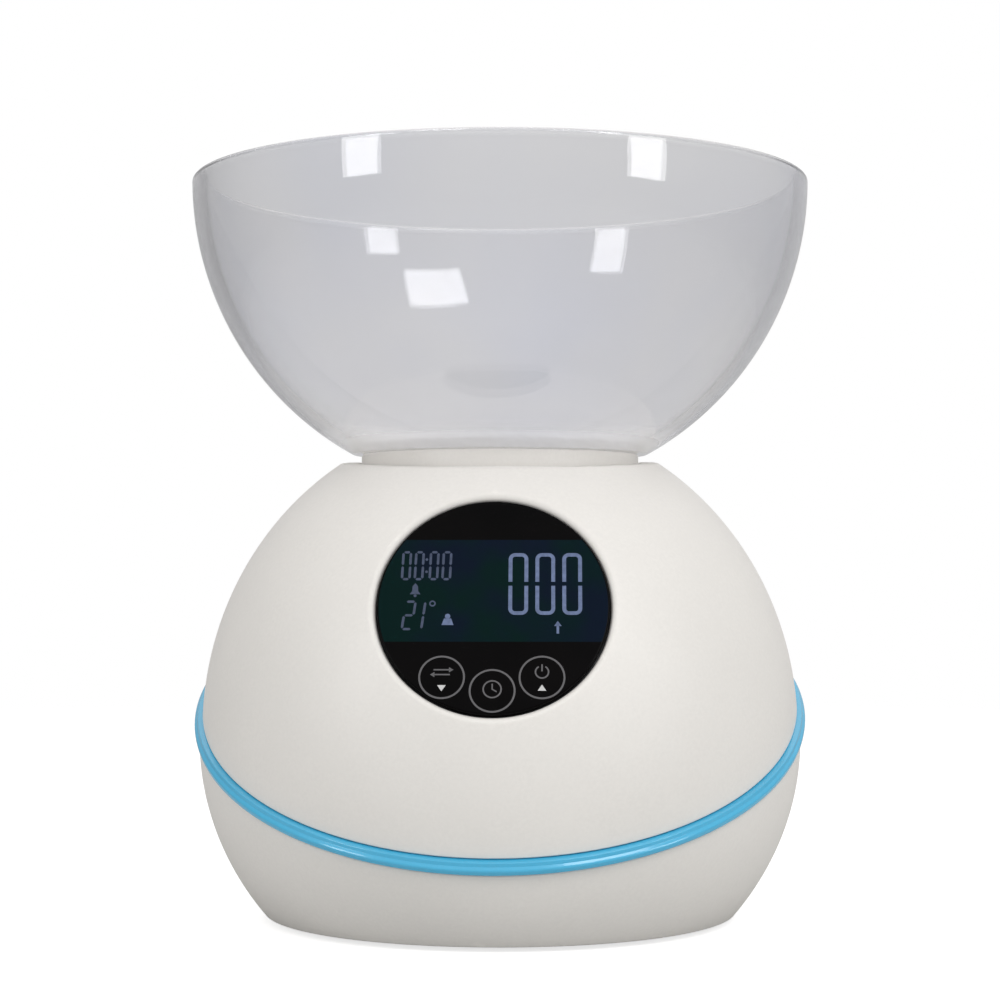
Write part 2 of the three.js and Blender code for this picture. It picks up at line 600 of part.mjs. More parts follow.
// Positive contact: an upright strip at the side of the coin cell.
function positiveContact() {
  return block(0.6, 3, COIN_Z, CONTACT_TOP).translate(contactPlaces[1].x, BATTERY_Y, 0);
}

// Door: a disc with a coin slot below and two locking tabs.
function batteryDoor() {
  const top = DOOR_TAB_Z + DOOR_TAB;
  const hollow = solid(rod(DOOR_RADIUS - DOOR_RIM, DOOR_THICKNESS, top + PAST, MIDDLE_ROUND));
  const tabs = solid(block(2 * (RECESS_RADIUS + DOOR_TAB - DOOR_GAP), DOOR_TAB_WIDTH, DOOR_TAB_Z, top));
  const slot = solid(block(COIN_SLOT.length, COIN_SLOT.width, DOOR_SINK - PAST, DOOR_SINK + COIN_SLOT.depth));
  const door = solid(rod(DOOR_RADIUS, DOOR_SINK, top, MIDDLE_ROUND)).add(tabs).subtract(hollow).subtract(slot);
  return geometryOf(door).translate(0, BATTERY_Y, 0);
}

// A round lead along a smooth curve.
function lead(points) {
  const route = new THREE.CatmullRomCurve3(points.map((p) => new THREE.Vector3(...p)));
  const section = new THREE.Shape().absarc(0, 0, LEAD_RADIUS, 0, 2 * Math.PI);
  return new THREE.ExtrudeGeometry(section, { steps: 24, curveSegments: 4, extrudePath: route });
}

const boardBack = new THREE.Vector3(0, 0, BOARD_TOP - BOARD_THICKNESS - SEAT_GAP - LEAD_RADIUS);
function boardPoint(right, up, behind) {
  return new THREE.Vector3(right, up, boardBack.z - behind).applyMatrix4(displayFrame).toArray();
}

function batteryLead() {
  const start = CONTACT_TOP + SEAT_GAP;
  return lead([
    [5, BATTERY_Y, start + LEAD_RADIUS],
    [30, BATTERY_Y - 12, start + 6],
    [CELL.length / 2 + 12, 2, start + 14],
    [CELL.length / 2 + 2, -30, start + 30],
    boardPoint(26, -24, 10),
    boardPoint(22, -20, 0),
  ]);
}

function cellLead() {
  const side = -(CELL.width / 2 + 2.4 + LEAD_RADIUS);
  return lead([
    [-8, side, CELL.z + CELL.height / 2],
    [-20, side - 6, CELL.z + 14],
    [-26, side - 14, CELL.z + 26],
    boardPoint(-20, -26, 8),
    boardPoint(-18, -20, 0),
  ]);
}

// ---- Assembly ----

const COLOURS = {
  white: { color: 0xdedbd6, roughness: 0.42 },
  blue: { color: 0x5cb4d6, roughness: 0.2 },
  clear: { color: 0xdfe3e6, roughness: 0.05, transparent: true, opacity: 0.35 },
  black: { color: 0x060606, roughness: 0.08 },
  smoke: { color: 0x26282a, roughness: 0.6 },
  glass: { color: 0x1a3a3a, roughness: 0.1 },
  light: { color: 0xe8ecee, roughness: 0.4 },
  board: { color: 0x17603a, roughness: 0.5 },
  rubber: { color: 0x77797b, roughness: 0.9 },
  steel: { color: 0xb9bcbe, roughness: 0.3, metalness: 1 },
  aluminium: { color: 0xc7c9cb, roughness: 0.4, metalness: 1 },
  silicone: { color: 0xf0f0ea, roughness: 0.6 },
};

const scale = new THREE.Group();
const casing = new THREE.Group();
casing.position.z = FOOT_PROUD;
scale.add(casing);
const display = new THREE.Group();
display.position.set(0, DISPLAY_Y, DISPLAY_Z);
display.rotation.x = (90 - DISPLAY_TILT) * DEGREE;
casing.add(display);

function place(parent, name, colour, geometry, x = 0, y = 0, z = 0) {
  const mesh = new THREE.Mesh(geometry, new THREE.MeshStandardMaterial(COLOURS[colour]));
  mesh.name = name;
  mesh.position.set(x, y, z);
  parent.add(mesh);
  return mesh;
}

place(casing, 'lower_shell', 'white', lowerShell());
place(casing, 'upper_shell', 'white', upperShell());
place(casing, 'accent_ring', 'blue', accentRing());
for (const { name, x, y } of footPlaces) {
  place(casing, `foot_${name}`, 'rubber', rod(FOOT_RADIUS, -FOOT_PROUD, FOOT_RECESS - SEAT_GAP), x, y);
}
postPlaces.forEach(({ x, y, joint }, i) => {
  const seat = joint - SCREW_GRIP - SEAT_GAP;
  place(casing, `case_screw_${i + 1}`, 'steel', screw(2 * SCREW_GRIP), x, y, seat);
});

place(display, 'display_lens', 'black', displayLens());
place(display, 'display_carrier', 'smoke', displayCarrier());
const lcdBack = -LCD_DEPTH - LCD.thickness;
const behindLcd = lcdBack - SEAT_GAP;
place(display, 'lcd_panel', 'glass', block(LCD.width, LCD.height, lcdBack, -LCD_DEPTH), 0, LCD.up);
place(
  display,
  'backlight',
  'light',
  block(BACKLIGHT.width, BACKLIGHT.height, behindLcd - BACKLIGHT.thickness, behindLcd),
  0,
  LCD.up,
);
for (const [name, side] of [['upper', 1], ['lower', -1]]) {
  const up = LCD.up + side * (LCD.height / 2 - ZEBRA_WIDTH);
  const strip = block(LCD.width - 6, ZEBRA_WIDTH, BOARD_TOP + SEAT_GAP, behindLcd);
  place(display, `zebra_strip_${name}`, 'rubber', strip, 0, up);
}
for (const { name, right, up } of KEYS) {
  const contact = rod(KEY_CONTACT_RADIUS, BOARD_TOP + SEAT_GAP, LENS_BACK);
  place(display, `touch_contact_${name}`, 'rubber', contact, right, up);
}
place(display, 'control_board', 'board', controlBoard());
const chipTop = BOARD_TOP - BOARD_THICKNESS - SEAT_GAP;
boardScrewPlaces.forEach(([x, y], i) => {
  const made = screw(BOARD_SCREW_LENGTH, BOARD_SCREW_RADIUS, BOARD_SCREW_RADIUS);
  place(display, `board_screw_${i + 1}`, 'steel', made, x, y, chipTop);
});
place(display, 'controller_chip', 'smoke', block(12, 12, chipTop - 1.6, chipTop), 0, 6);
place(display, 'buzzer', 'black', rod(6, chipTop - 5, chipTop), -22, 12);
place(display, 'temperature_sensor', 'black', rod(1.8, chipTop - 3, chipTop, SCREW_SIDES), 24, 14);

place(casing, 'load_cell', 'aluminium', loadCell());
place(casing, 'load_cell_mount', 'smoke', cellMount());
for (const [name, side] of [['front', -1], ['rear', 1]]) {
  const cover = new THREE.BoxGeometry(4 * CELL.holeX, 1.6, CELL.height - 2);
  const y = side * (CELL.width / 2 + SEAT_GAP + 0.8);
  place(casing, `strain_gauge_cover_${name}`, 'silicone', cover, 0, y, CELL.z + CELL.height / 2);
}
cellScrewXs.forEach((dx, i) => {
  const seat = HEAD_RECESS - SEAT_GAP;
  const made = screw(CELL.z + CELL.height * 0.6, SCREW_RADIUS, seat - STOP_SINK / 2);
  place(casing, `cell_screw_${i + 1}`, 'steel', made, dx - CELL_END_X, 0, seat);
});
const stopTop = CELL.z - PLATFORM_TRAVEL - SEAT_GAP;
place(casing, 'overload_stop', 'steel', rod(SCREW_RADIUS, STOP_SINK, stopTop, SCREW_SIDES), CELL_END_X, 0);
place(casing, 'coin_cell', 'steel', rod(COIN_RADIUS, COIN_Z, COIN_Z + COIN_HEIGHT, MIDDLE_ROUND), 0, BATTERY_Y);
place(casing, 'contact_negative', 'steel', negativeContact());
place(casing, 'contact_positive', 'steel', positiveContact());
place(casing, 'battery_lead', 'smoke', batteryLead());
place(casing, 'load_cell_lead', 'light', cellLead());

place(casing, 'battery_door', 'white', batteryDoor());

place(casing, 'load_arm', 'steel', loadArm());
cellScrewXs.forEach((dx, i) => {
  const head = screw(CELL.height * 0.6).rotateX(Math.PI);
  place(casing, `arm_screw_${i + 1}`, 'steel', head, CELL_END_X + dx, 0, ARM_Z + ARM_THICKNESS + SEAT_GAP);
});
place(casing, 'platform_column', 'white', platformColumn());
platformScrewPlaces.forEach(([x, y], i) => {
  const seat = HUB_Z - SEAT_GAP - FLANGE_THICKNESS - SEAT_GAP;
  place(casing, `platform_screw_${i + 1}`, 'steel', screw(10), x, y, seat);
});
place(casing, 'platform', 'white', platform());
place(casing, 'bowl', 'clear', bowl());

export default scale;
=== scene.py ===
import json
import math

import bmesh
import bpy
from mathutils import Matrix, Vector


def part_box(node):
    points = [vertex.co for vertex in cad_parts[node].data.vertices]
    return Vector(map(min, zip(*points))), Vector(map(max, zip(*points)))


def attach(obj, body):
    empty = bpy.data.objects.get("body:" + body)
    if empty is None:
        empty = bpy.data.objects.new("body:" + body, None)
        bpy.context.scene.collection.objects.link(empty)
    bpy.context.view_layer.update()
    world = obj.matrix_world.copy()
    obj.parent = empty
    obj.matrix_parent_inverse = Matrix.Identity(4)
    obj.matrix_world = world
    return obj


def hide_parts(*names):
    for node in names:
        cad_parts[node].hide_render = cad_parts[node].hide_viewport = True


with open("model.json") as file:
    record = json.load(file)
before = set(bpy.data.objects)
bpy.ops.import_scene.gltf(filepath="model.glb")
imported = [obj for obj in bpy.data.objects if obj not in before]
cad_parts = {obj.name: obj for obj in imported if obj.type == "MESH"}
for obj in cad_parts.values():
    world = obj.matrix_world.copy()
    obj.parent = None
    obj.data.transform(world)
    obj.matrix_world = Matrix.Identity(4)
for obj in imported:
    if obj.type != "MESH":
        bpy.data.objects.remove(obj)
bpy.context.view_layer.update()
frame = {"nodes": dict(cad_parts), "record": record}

MM = 0.001

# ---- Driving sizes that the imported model's boxes don't give ----

FOOT_PROUD = 1.5 * MM
DOME = {"radius": 97.2 * MM, "rise": 102.5 * MM, "centre": 60 * MM + FOOT_PROUD}
TUB = {"radius": 98.1 * MM, "rise": 105.5 * MM, "drop": 91 * MM, "centre": 57 * MM + FOOT_PROUD}
WALL = 2.5 * MM
SEAT_GAP = 0.3 * MM
RING_TILT = math.radians(25.5)  # lower at the front
RING_MIDDLE = 69.2 * MM + FOOT_PROUD
RING_HEIGHT = 4.4 * MM
RING_DEPTH = 6 * MM
RING_PROUD = 2.6 * MM
PLATFORM_GAP = 0.9 * MM
CROWN_TILT = math.radians(4.2)  # lower at the front
CROWN_DROP = 0.4 * MM
COLLAR_DEPTH = 9 * MM
COLLAR_WALL = 2.2 * MM
BOWL_RISE = 102 * MM
BOWL_WALL = 4.5 * MM
BOWL_FLOOR = 5 * MM
DISPLAY_TILT = math.radians(25)
LENS_THICKNESS = 2 * MM
LENS_GAP = 0.4 * MM
POST_RADIUS = 5.5 * MM
SCREW_GRIP = 8 * MM
SCREW_HOLE = 1.7 * MM
HEAD_HOLE = 3.1 * MM
HEAD_RECESS = 1.2 * MM
CASE_HEAD_HEIGHT = 2 * MM
CELL_HEAD_HEIGHT = 0.8 * MM
FOOT_RECESS = 1 * MM
DOOR_TAB = 1.4 * MM
DOOR_GAP = 0.4 * MM
DOOR_GROOVE = {"bottom": 2.4 * MM, "top": 4.5 * MM}
DOOR_NOTCH_WIDTH = 7 * MM
DOOR_TURN = math.radians(30)
POCKET_GAP = 1.4 * MM  # round the coin cell
PLATFORM_BOSS_RADIUS = 4 * MM
ROUND = 288  # columns of the large round pieces
DETAIL = 96  # columns of the small round pieces
THREAD_DETAIL = 32  # columns of the screws
CORNER_STEPS = 6  # in which a corner is rounded
FINE_CORNER_STEPS = 8
HALVINGS = 50  # in the search for an outline's crossing
PAST = 1 * MM  # how far a cutting tool reaches past what it cuts

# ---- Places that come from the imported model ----

foot_low, foot_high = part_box("foot_front_left")
tub_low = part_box("lower_shell")[0]
platform_low, platform_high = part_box("platform")
bowl_low, bowl_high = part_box("bowl")
lens_low, lens_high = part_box("display_lens")
door_low, door_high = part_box("battery_door")
coin_low, coin_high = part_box("coin_cell")

FOOT_RADIUS = (foot_high.x - foot_low.x) / 2
DOOR_MIDDLE = ((door_low.x + door_high.x) / 2, (coin_low.y + coin_high.y) / 2)
DOOR_RADIUS = (door_high.y - door_low.y) / 2
RECESS_TOP = coin_low.z - SEAT_GAP
POCKET_RADIUS = (coin_high.x - coin_low.x) / 2 + POCKET_GAP
POCKET_TOP = coin_high.z + POCKET_GAP
CROWN_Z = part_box("upper_shell")[1].z
OPENING_RADIUS = platform_high.x + PLATFORM_GAP
LENS_RADIUS = lens_high.x
LENS_RIGHT = Vector((1, 0, 0))
LENS_UP = Vector((0, math.sin(DISPLAY_TILT), math.cos(DISPLAY_TILT)))
LENS_OUT = Vector((0, -math.cos(DISPLAY_TILT), math.sin(DISPLAY_TILT)))
LENS_CENTRE = Vector((
    0,
    lens_high.y - LENS_THICKNESS * math.cos(DISPLAY_TILT) - LENS_RADIUS * math.sin(DISPLAY_TILT),
    lens_low.z + LENS_THICKNESS * math.sin(DISPLAY_TILT) + LENS_RADIUS * math.cos(DISPLAY_TILT),
))


# ---- Mesh building ----

def turn_points(count):
    """Angles spaced evenly round a circle, without its end."""
    return [2 * math.pi * i / count for i in range(count)]


def rounded(corners, steps=CORNER_STEPS):
    """Points along an outline of (x, y, radius) corners, each corner turned on an arc of its radius."""
    made = []
    for i, (x, y, radius) in enumerate(corners):
        here = Vector((x, y))
        if radius <= 0 or i in (0, len(corners) - 1):
            made.append(here)
            continue
        before = (Vector(corners[i - 1][:2]) - here).normalized()
        after = (Vector(corners[i + 1][:2]) - here).normalized()
        half = before.angle(after) / 2
        centre = here + (before + after).normalized() * radius / math.sin(half)
        start = here + before * radius / math.tan(half) - centre
        end = here + after * radius / math.tan(half) - centre
        turn = start.angle_signed(end)
        for step in range(steps + 1):
            angle = -turn * step / steps
            cos, sin = math.cos(angle), math.sin(angle)
            made.append(centre + Vector((start.x * cos - start.y * sin, start.x * sin + start.y * cos)))
    return made


def loft(columns, capped):
    """Vertices and faces through columns of points, the last column joined to the first. A capped loft is
    closed by a flat face over its first row and its last, and any other by joining each column's ends."""
    rows = len(columns[0])
    vertices = [point for column in columns for point in column]
    faces = []
    for i in range(len(columns)):
        here, there = i * rows, (i + 1) % len(columns) * rows
        for j in range(rows - 1 if capped else rows):
            up = (j + 1) % rows
            faces.append((here + j, there + j, there + up, here + up))
    if capped:
        faces.append(tuple(i * rows for i in reversed(range(len(columns)))))
        faces.append(tuple(i * rows + rows - 1 for i in range(len(columns))))
    return vertices, faces


def revolve(profile, columns, place):
    """Vertices and faces of a profile of (radius, height) points, turned about the place's Z axis."""
    made = [
        [place @ Vector((r * math.cos(angle), r * math.sin(angle), z)) for r, z in profile]
        for angle in turn_points(columns)
    ]
    return loft(made, True)


def build(name, vertices, faces):
    """An object with this mesh, its faces pointing out."""
    mesh = bpy.data.meshes.new(name)
    mesh.from_pydata([tuple(v) for v in vertices], [], faces)
    shape = bmesh.new()
    shape.from_mesh(mesh)
    bmesh.ops.recalc_face_normals(shape, faces=shape.faces)
    shape.to_mesh(mesh)
    shape.free()
    obj = bpy.data.objects.new(name, mesh)
    bpy.context.scene.collection.objects.link(obj)
    return obj


def combine(obj, tool, operation):
    """Cuts a tool from an object or joins it on, and removes the tool."""
    step = obj.modifiers.new("combine", "BOOLEAN")
    step.operation = operation
    step.solver = "EXACT"
    step.object = tool
    bpy.context.view_layer.update()
    result = bpy.data.meshes.new_from_object(obj.evaluated_get(bpy.context.evaluated_depsgraph_get()))
    obj.modifiers.clear()
    obj.data = result
    bpy.data.objects.remove(tool)
    return obj


def cut(obj, tool):
    return combine(obj, tool, "DIFFERENCE")


def join(obj, tool):
    return combine(obj, tool, "UNION")


def turned(name, corners, columns=DETAIL, place=Matrix.Identity(4), steps=CORNER_STEPS):
    """A piece turned from an outline of (radius, height, rounding) corners that runs from axis to axis."""
    profile = [(p.x, p.y) for p in rounded(corners, steps)[1:-1]]
    return build(name, *revolve(profile, columns, place))


def rod(radius, bottom, top, x, y, sides=DETAIL):
    """An upright cylinder or prism, to cut or to join with."""
    return build("tool", *revolve([(radius, bottom), (radius, top)], sides, Matrix.Translation((x, y, 0))))


def bar(width, depth, bottom, top, place):
    """A block on the place's Z axis, to cut or to join with."""
    x, y = width / 2, depth / 2
    columns = [
        [place @ Vector((*corner, z)) for z in (bottom, top)]
        for corner in ((-x, -y), (x, -y), (x, y), (-x, y))
    ]
    return build("tool", *loft(columns, True))


def dress(obj, body, slot, *nodes, material=None, crease=32):
    """Gives a piece its material, which is its slot's unless it has its own, puts it on the body that it
    rides on, and hides the nodes it stands for. Shades it smooth up to the crease angle."""
    obj.data.materials.clear()
    obj.data.materials.append(material or MATERIALS[slot])
    obj.data.polygons.foreach_set("use_smooth", [True] * len(obj.data.polygons))
    obj.data.set_sharp_from_angle(angle=math.radians(crease))
    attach(obj, body)
    if nodes:
        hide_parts(*nodes)


# ---- Surfaces of the casing ----

def ellipse_at(shape, theta, inset=0.0):
    """Radius and height on a casing shape's outline, or on the outline inset from it."""
    rise = shape["drop"] if theta < 0 and "drop" in shape else shape["rise"]
    radius, rise = shape["radius"] - inset, rise - inset
    return radius * math.cos(theta), shape["centre"] + rise * math.sin(theta)


def theta_at_plane(shape, azimuth, height, tilt, inset=0.0):
    """Where a casing shape's outline in this direction crosses a plane that tilts about the X axis."""
    low, high = -math.pi / 2, math.pi / 2
    for _ in range(HALVINGS):
        middle = (low + high) / 2
        r, z = ellipse_at(shape, middle, inset)
        if z < height + r * math.sin(azimuth) * math.tan(tilt):
            low = middle
        else:
            high = middle
    return low


def ellipse_run(shape, start, end, steps, inset=0.0):
    """Unrounded corners along a casing shape's outline."""
    return [(*ellipse_at(shape, start + (end - start) * i / steps, inset), 0) for i in range(steps + 1)]


def ring_edge(side):
    """Height on the scale's axis of the casing's edge above the ring (1) or below it (-1)."""
    return RING_MIDDLE + side * (RING_HEIGHT / 2 + SEAT_GAP) / math.cos(RING_TILT)


def ring_middle_at(y):
    """Height of the ring's tilted middle plane, this far behind the axis."""
    return RING_MIDDLE + y * math.tan(RING_TILT)


def upright(azimuth, profile):
    """A (radius, height) profile stood up in this direction from the axis."""
    return [Vector((p.x * math.cos(azimuth), p.x * math.sin(azimuth), p.y)) for p in profile]


def reach_to_dome(start, way):
    """How far the dome's surface is from a point inside it, along a way of unit length."""
    scale = Vector((1 / DOME["radius"], 1 / DOME["radius"], 1 / DOME["rise"]))
    start = (start - Vector((0, 0, DOME["centre"]))) * scale
    way = way * scale
    a, b, c = way.dot(way), 2 * start.dot(way), start.dot(start) - 1
    return (-b + math.sqrt(b * b - 4 * a * c)) / (2 * a)


# ---- Materials ----

COLOUR_A, COLOUR_B, COLOUR_RESULT = 6, 7, 2  # the Mix node's sockets for colours


def even(value):
    """A grey with this value."""
    return (value, value, value)


def new_material(name, **sockets):
    """A material with its node tree and its Principled shader, whose sockets have these values."""
    material = bpy.data.materials.new(name)
    material.use_nodes = True
    tree = material.node_tree
    shader = tree.nodes["Principled BSDF"]
    for socket, value in sockets.items():
        shader.inputs[socket.replace("_", " ")].default_value = value
    return material, tree, shader


def noise(tree, scale, detail=2.0, stretch=(1, 1, 1)):
    """A noise pattern with this many patches to the metre."""
    place = tree.nodes.new("ShaderNodeTexCoord")
    mapping = tree.nodes.new("ShaderNodeMapping")
    mapping.inputs["Scale"].default_value = stretch
    pattern = tree.nodes.new("ShaderNodeTexNoise")
    pattern.inputs["Scale"].default_value = scale
    pattern.inputs["Detail"].default_value = detail
    tree.links.new(place.outputs["Object"], mapping.inputs["Vector"])
    tree.links.new(mapping.outputs["Vector"], pattern.inputs["Vector"])
    return pattern.outputs["Fac"]


def ramp(tree, source, *stops):
    """Colours by the source's value, from (position, colour) stops."""
    node = tree.nodes.new("ShaderNodeValToRGB")
    for i, (position, colour) in enumerate(stops):
        stop = node.color_ramp.elements[i] if i < 2 else node.color_ramp.elements.new(position)
        stop.position = position
        stop.color = (*colour, 1)
    tree.links.new(source, node.inputs["Fac"])
    return node.outputs["Color"]


def spread(tree, source, low, high, start=0.3, end=0.7):
    """The source's values from start to end, spread from low to high."""
    node = tree.nodes.new("ShaderNodeMapRange")
    for socket, value in (("From Min", start), ("From Max", end), ("To Min", low), ("To Max", high)):
        node.inputs[socket].default_value = value
    tree.links.new(source, node.inputs["Value"])
    return node.outputs["Result"]


def blend_colours(tree, factor, first, second):
    """The first colour where the factor is 0, and the second where it is 1."""
    node = tree.nodes.new("ShaderNodeMix")
    node.data_type = "RGBA"
    tree.links.new(factor, node.inputs["Factor"])
    tree.links.new(first, node.inputs[COLOUR_A])
    tree.links.new(second, node.inputs[COLOUR_B])
    return node.outputs[COLOUR_RESULT]


def roughen(tree, shader, *patterns):
    """Bumps from (pattern, height in metres) pairs, the later ones on top of the earlier."""
    below = None
    for pattern, height in patterns:
        node = tree.nodes.new("ShaderNodeBump")
        node.inputs["Strength"].default_value = 1
        node.inputs["Distance"].default_value = height
        tree.links.new(pattern, node.inputs["Height"])
        if below:
            tree.links.new(below, node.inputs["Normal"])
        below = node.outputs["Normal"]
    tree.links.new(below, shader.inputs["Normal"])


def shade(colour, share):
    """The colour made darker, or brighter up to white."""
    return tuple(min(1.0, c * share) for c in colour)


def paler_sharp_edges(tree, colour, paler_colour, start=0.53, end=0.6):
    """The colour, turning to a paler one along sharp outer edges."""
    geometry = tree.nodes.new("ShaderNodeNewGeometry")
    amount = spread(tree, geometry.outputs["Pointiness"], 0, 0.7, start, end)
    edge_colour = ramp(tree, noise(tree, 300), (0.3, shade(paler_colour, 0.92)), (0.7, paler_colour))
    return blend_colours(tree, amount, colour, edge_colour)


def moulded(name, colour, roughness=(0.4, 0.5), grain=2600, grain_height=6e-6, variation=0.03, **sockets):
    """Moulded plastic or rubber: slow and fine changes of colour, a fine grain, and paler edges."""
    material, tree, shader = new_material(name, **sockets)
    dark, light = shade(colour, 1 - variation), shade(colour, 1 + variation)
    slow = ramp(tree, noise(tree, 14, 3), (0.3, dark), (0.7, light))
    fine = ramp(tree, noise(tree, 900), (0.35, dark), (0.65, light))
    patches = spread(tree, noise(tree, 160, 4), 0.2, 0.6)
    body = blend_colours(tree, patches, slow, fine)
    tree.links.new(paler_sharp_edges(tree, body, shade(colour, 1.12)), shader.inputs["Base Color"])
    tree.links.new(spread(tree, noise(tree, 45, 4), *roughness), shader.inputs["Roughness"])
    roughen(tree, shader, (noise(tree, 60), grain_height), (noise(tree, grain, 3), grain_height))
    return material


def brushed_metal(name, colour, roughness=(0.25, 0.42), stretch=(1, 1, 14)):
    """Metal with drawing lines, darker patches and bright edges."""
    material, tree, shader = new_material(name, Metallic=1.0)
    lines = noise(tree, 420, 4, stretch)
    body = ramp(tree, lines, (0.25, shade(colour, 0.86)), (0.75, colour))
    tree.links.new(paler_sharp_edges(tree, body, shade(colour, 1.15)), shader.inputs["Base Color"])
    tree.links.new(spread(tree, noise(tree, 120, 4), *roughness), shader.inputs["Roughness"])
    roughen(tree, shader, (lines, 8e-6), (noise(tree, 1500), 3e-6))
    return material


def clear_plastic():
    """Clear moulded acrylic: a faint cool tint through its thickness, smears and slow waves on its surface,
    and a ground foot and rim. Most of the light goes through it to what stands under it."""
    material, tree, shader = new_material("clear_plastic", IOR=1.49)
    tint = ramp(tree, noise(tree, 13, 2), (0.35, (0.955, 0.962, 0.995)), (0.6, (0.992, 0.990, 0.994)))
    tree.links.new(tint, shader.inputs["Base Color"])
    place = tree.nodes.new("ShaderNodeTexCoord")
    parts = tree.nodes.new("ShaderNodeSeparateXYZ")
    tree.links.new(place.outputs["Object"], parts.inputs["Vector"])
    height = parts.outputs["Z"]
    foot_top, rim_foot = bowl_low.z + BOWL_FLOOR * 1.5, bowl_high.z - BOWL_WALL / 2
    both = tree.nodes.new("ShaderNodeMath")
    both.operation = "MULTIPLY"
    tree.links.new(spread(tree, height, 0.3, 0.98, bowl_low.z, foot_top), both.inputs[0])
    tree.links.new(spread(tree, height, 1, 0.75, rim_foot, bowl_high.z), both.inputs[1])
    tree.links.new(both.outputs["Value"], shader.inputs["Transmission Weight"])
    path = tree.nodes.new("ShaderNodeLightPath")
    tree.links.new(spread(tree, path.outputs["Is Shadow Ray"], 1, 0.12, 0, 1), shader.inputs["Alpha"])
    tree.links.new(spread(tree, noise(tree, 22, 5), 0.0, 0.05), shader.inputs["Roughness"])
    roughen(tree, shader, (noise(tree, 26, 1), 5e-5), (noise(tree, 9, 1), 1.6e-4))
    absorption = tree.nodes.new("ShaderNodeVolumeAbsorption")
    absorption.inputs["Color"].default_value = (0.62, 0.62, 0.66, 1)
    absorption.inputs["Density"].default_value = 20
    tree.links.new(absorption.outputs["Volume"], tree.nodes["Material Output"].inputs["Volume"])
    return material


def window_black():
    """Glossy black window: smears in the gloss, and a barely warmer black here and there."""
    material, tree, shader = new_material("lens_black", Specular_IOR_Level=0.035)
    body = ramp(tree, noise(tree, 40, 3), (0.3, (0.0012, 0.0012, 0.0014)), (0.7, (0.0028, 0.0024, 0.0026)))
    tree.links.new(body, shader.inputs["Base Color"])
    tree.links.new(spread(tree, noise(tree, 60, 5), 0.06, 0.16), shader.inputs["Roughness"])
    roughen(tree, shader, (noise(tree, 35, 1), 1.2e-5))
    return material


def display_field():
    """Dark teal of the unlit panel behind the window, bluer in patches, with a faint painted glow in its own
    colour.
    """
    # painted glow: the field's colour is also emitted, though the panel behind the window is unlit
    material, tree, shader = new_material("lcd_field", Specular_IOR_Level=0.035, Emission_Strength=0.3)
    body = ramp(tree, noise(tree, 55, 2), (0.40, (0.0010, 0.0088, 0.0084)), (0.64, (0.0022, 0.0056, 0.0135)))
    tree.links.new(body, shader.inputs["Base Color"])
    tree.links.new(body, shader.inputs["Emission Color"])
    tree.links.new(spread(tree, noise(tree, 60, 5), 0.07, 0.18), shader.inputs["Roughness"])
    return material


def lit_print(name, colour, strength):
    """A lit segment: brighter and dimmer along its length."""
    material, tree, shader = new_material(name, Specular_IOR_Level=0.3, Emission_Strength=strength)
    body = ramp(tree, noise(tree, 700, 2), (0.3, shade(colour, 0.8)), (0.7, shade(colour, 1.12)))
    tree.links.new(body, shader.inputs["Base Color"])
    tree.links.new(body, shader.inputs["Emission Color"])
    tree.links.new(spread(tree, noise(tree, 60, 5), 0.08, 0.2), shader.inputs["Roughness"])
    return material


def board_laminate():
    """Green circuit board: solder mask over straight copper tracks."""
    material, tree, shader = new_material("board_laminate", Coat_Weight=0.4)
    place = tree.nodes.new("ShaderNodeTexCoord")
    tracks = tree.nodes.new("ShaderNodeTexBrick")
    tracks.inputs["Scale"].default_value = 260
    tracks.inputs["Mortar Size"].default_value = 0.03
    tracks.inputs["Color1"].default_value = (0.012, 0.10, 0.035, 1)
    tracks.inputs["Color2"].default_value = (0.014, 0.12, 0.04, 1)
    tracks.inputs["Mortar"].default_value = (0.05, 0.21, 0.06, 1)
    tree.links.new(place.outputs["Object"], tracks.inputs["Vector"])
    tree.links.new(tracks.outputs["Color"], shader.inputs["Base Color"])
    tree.links.new(spread(tree, noise(tree, 90, 3), 0.3, 0.48), shader.inputs["Roughness"])
    roughen(tree, shader, (tracks.outputs["Fac"], 2e-5), (noise(tree, 1200), 3e-6))
    return material


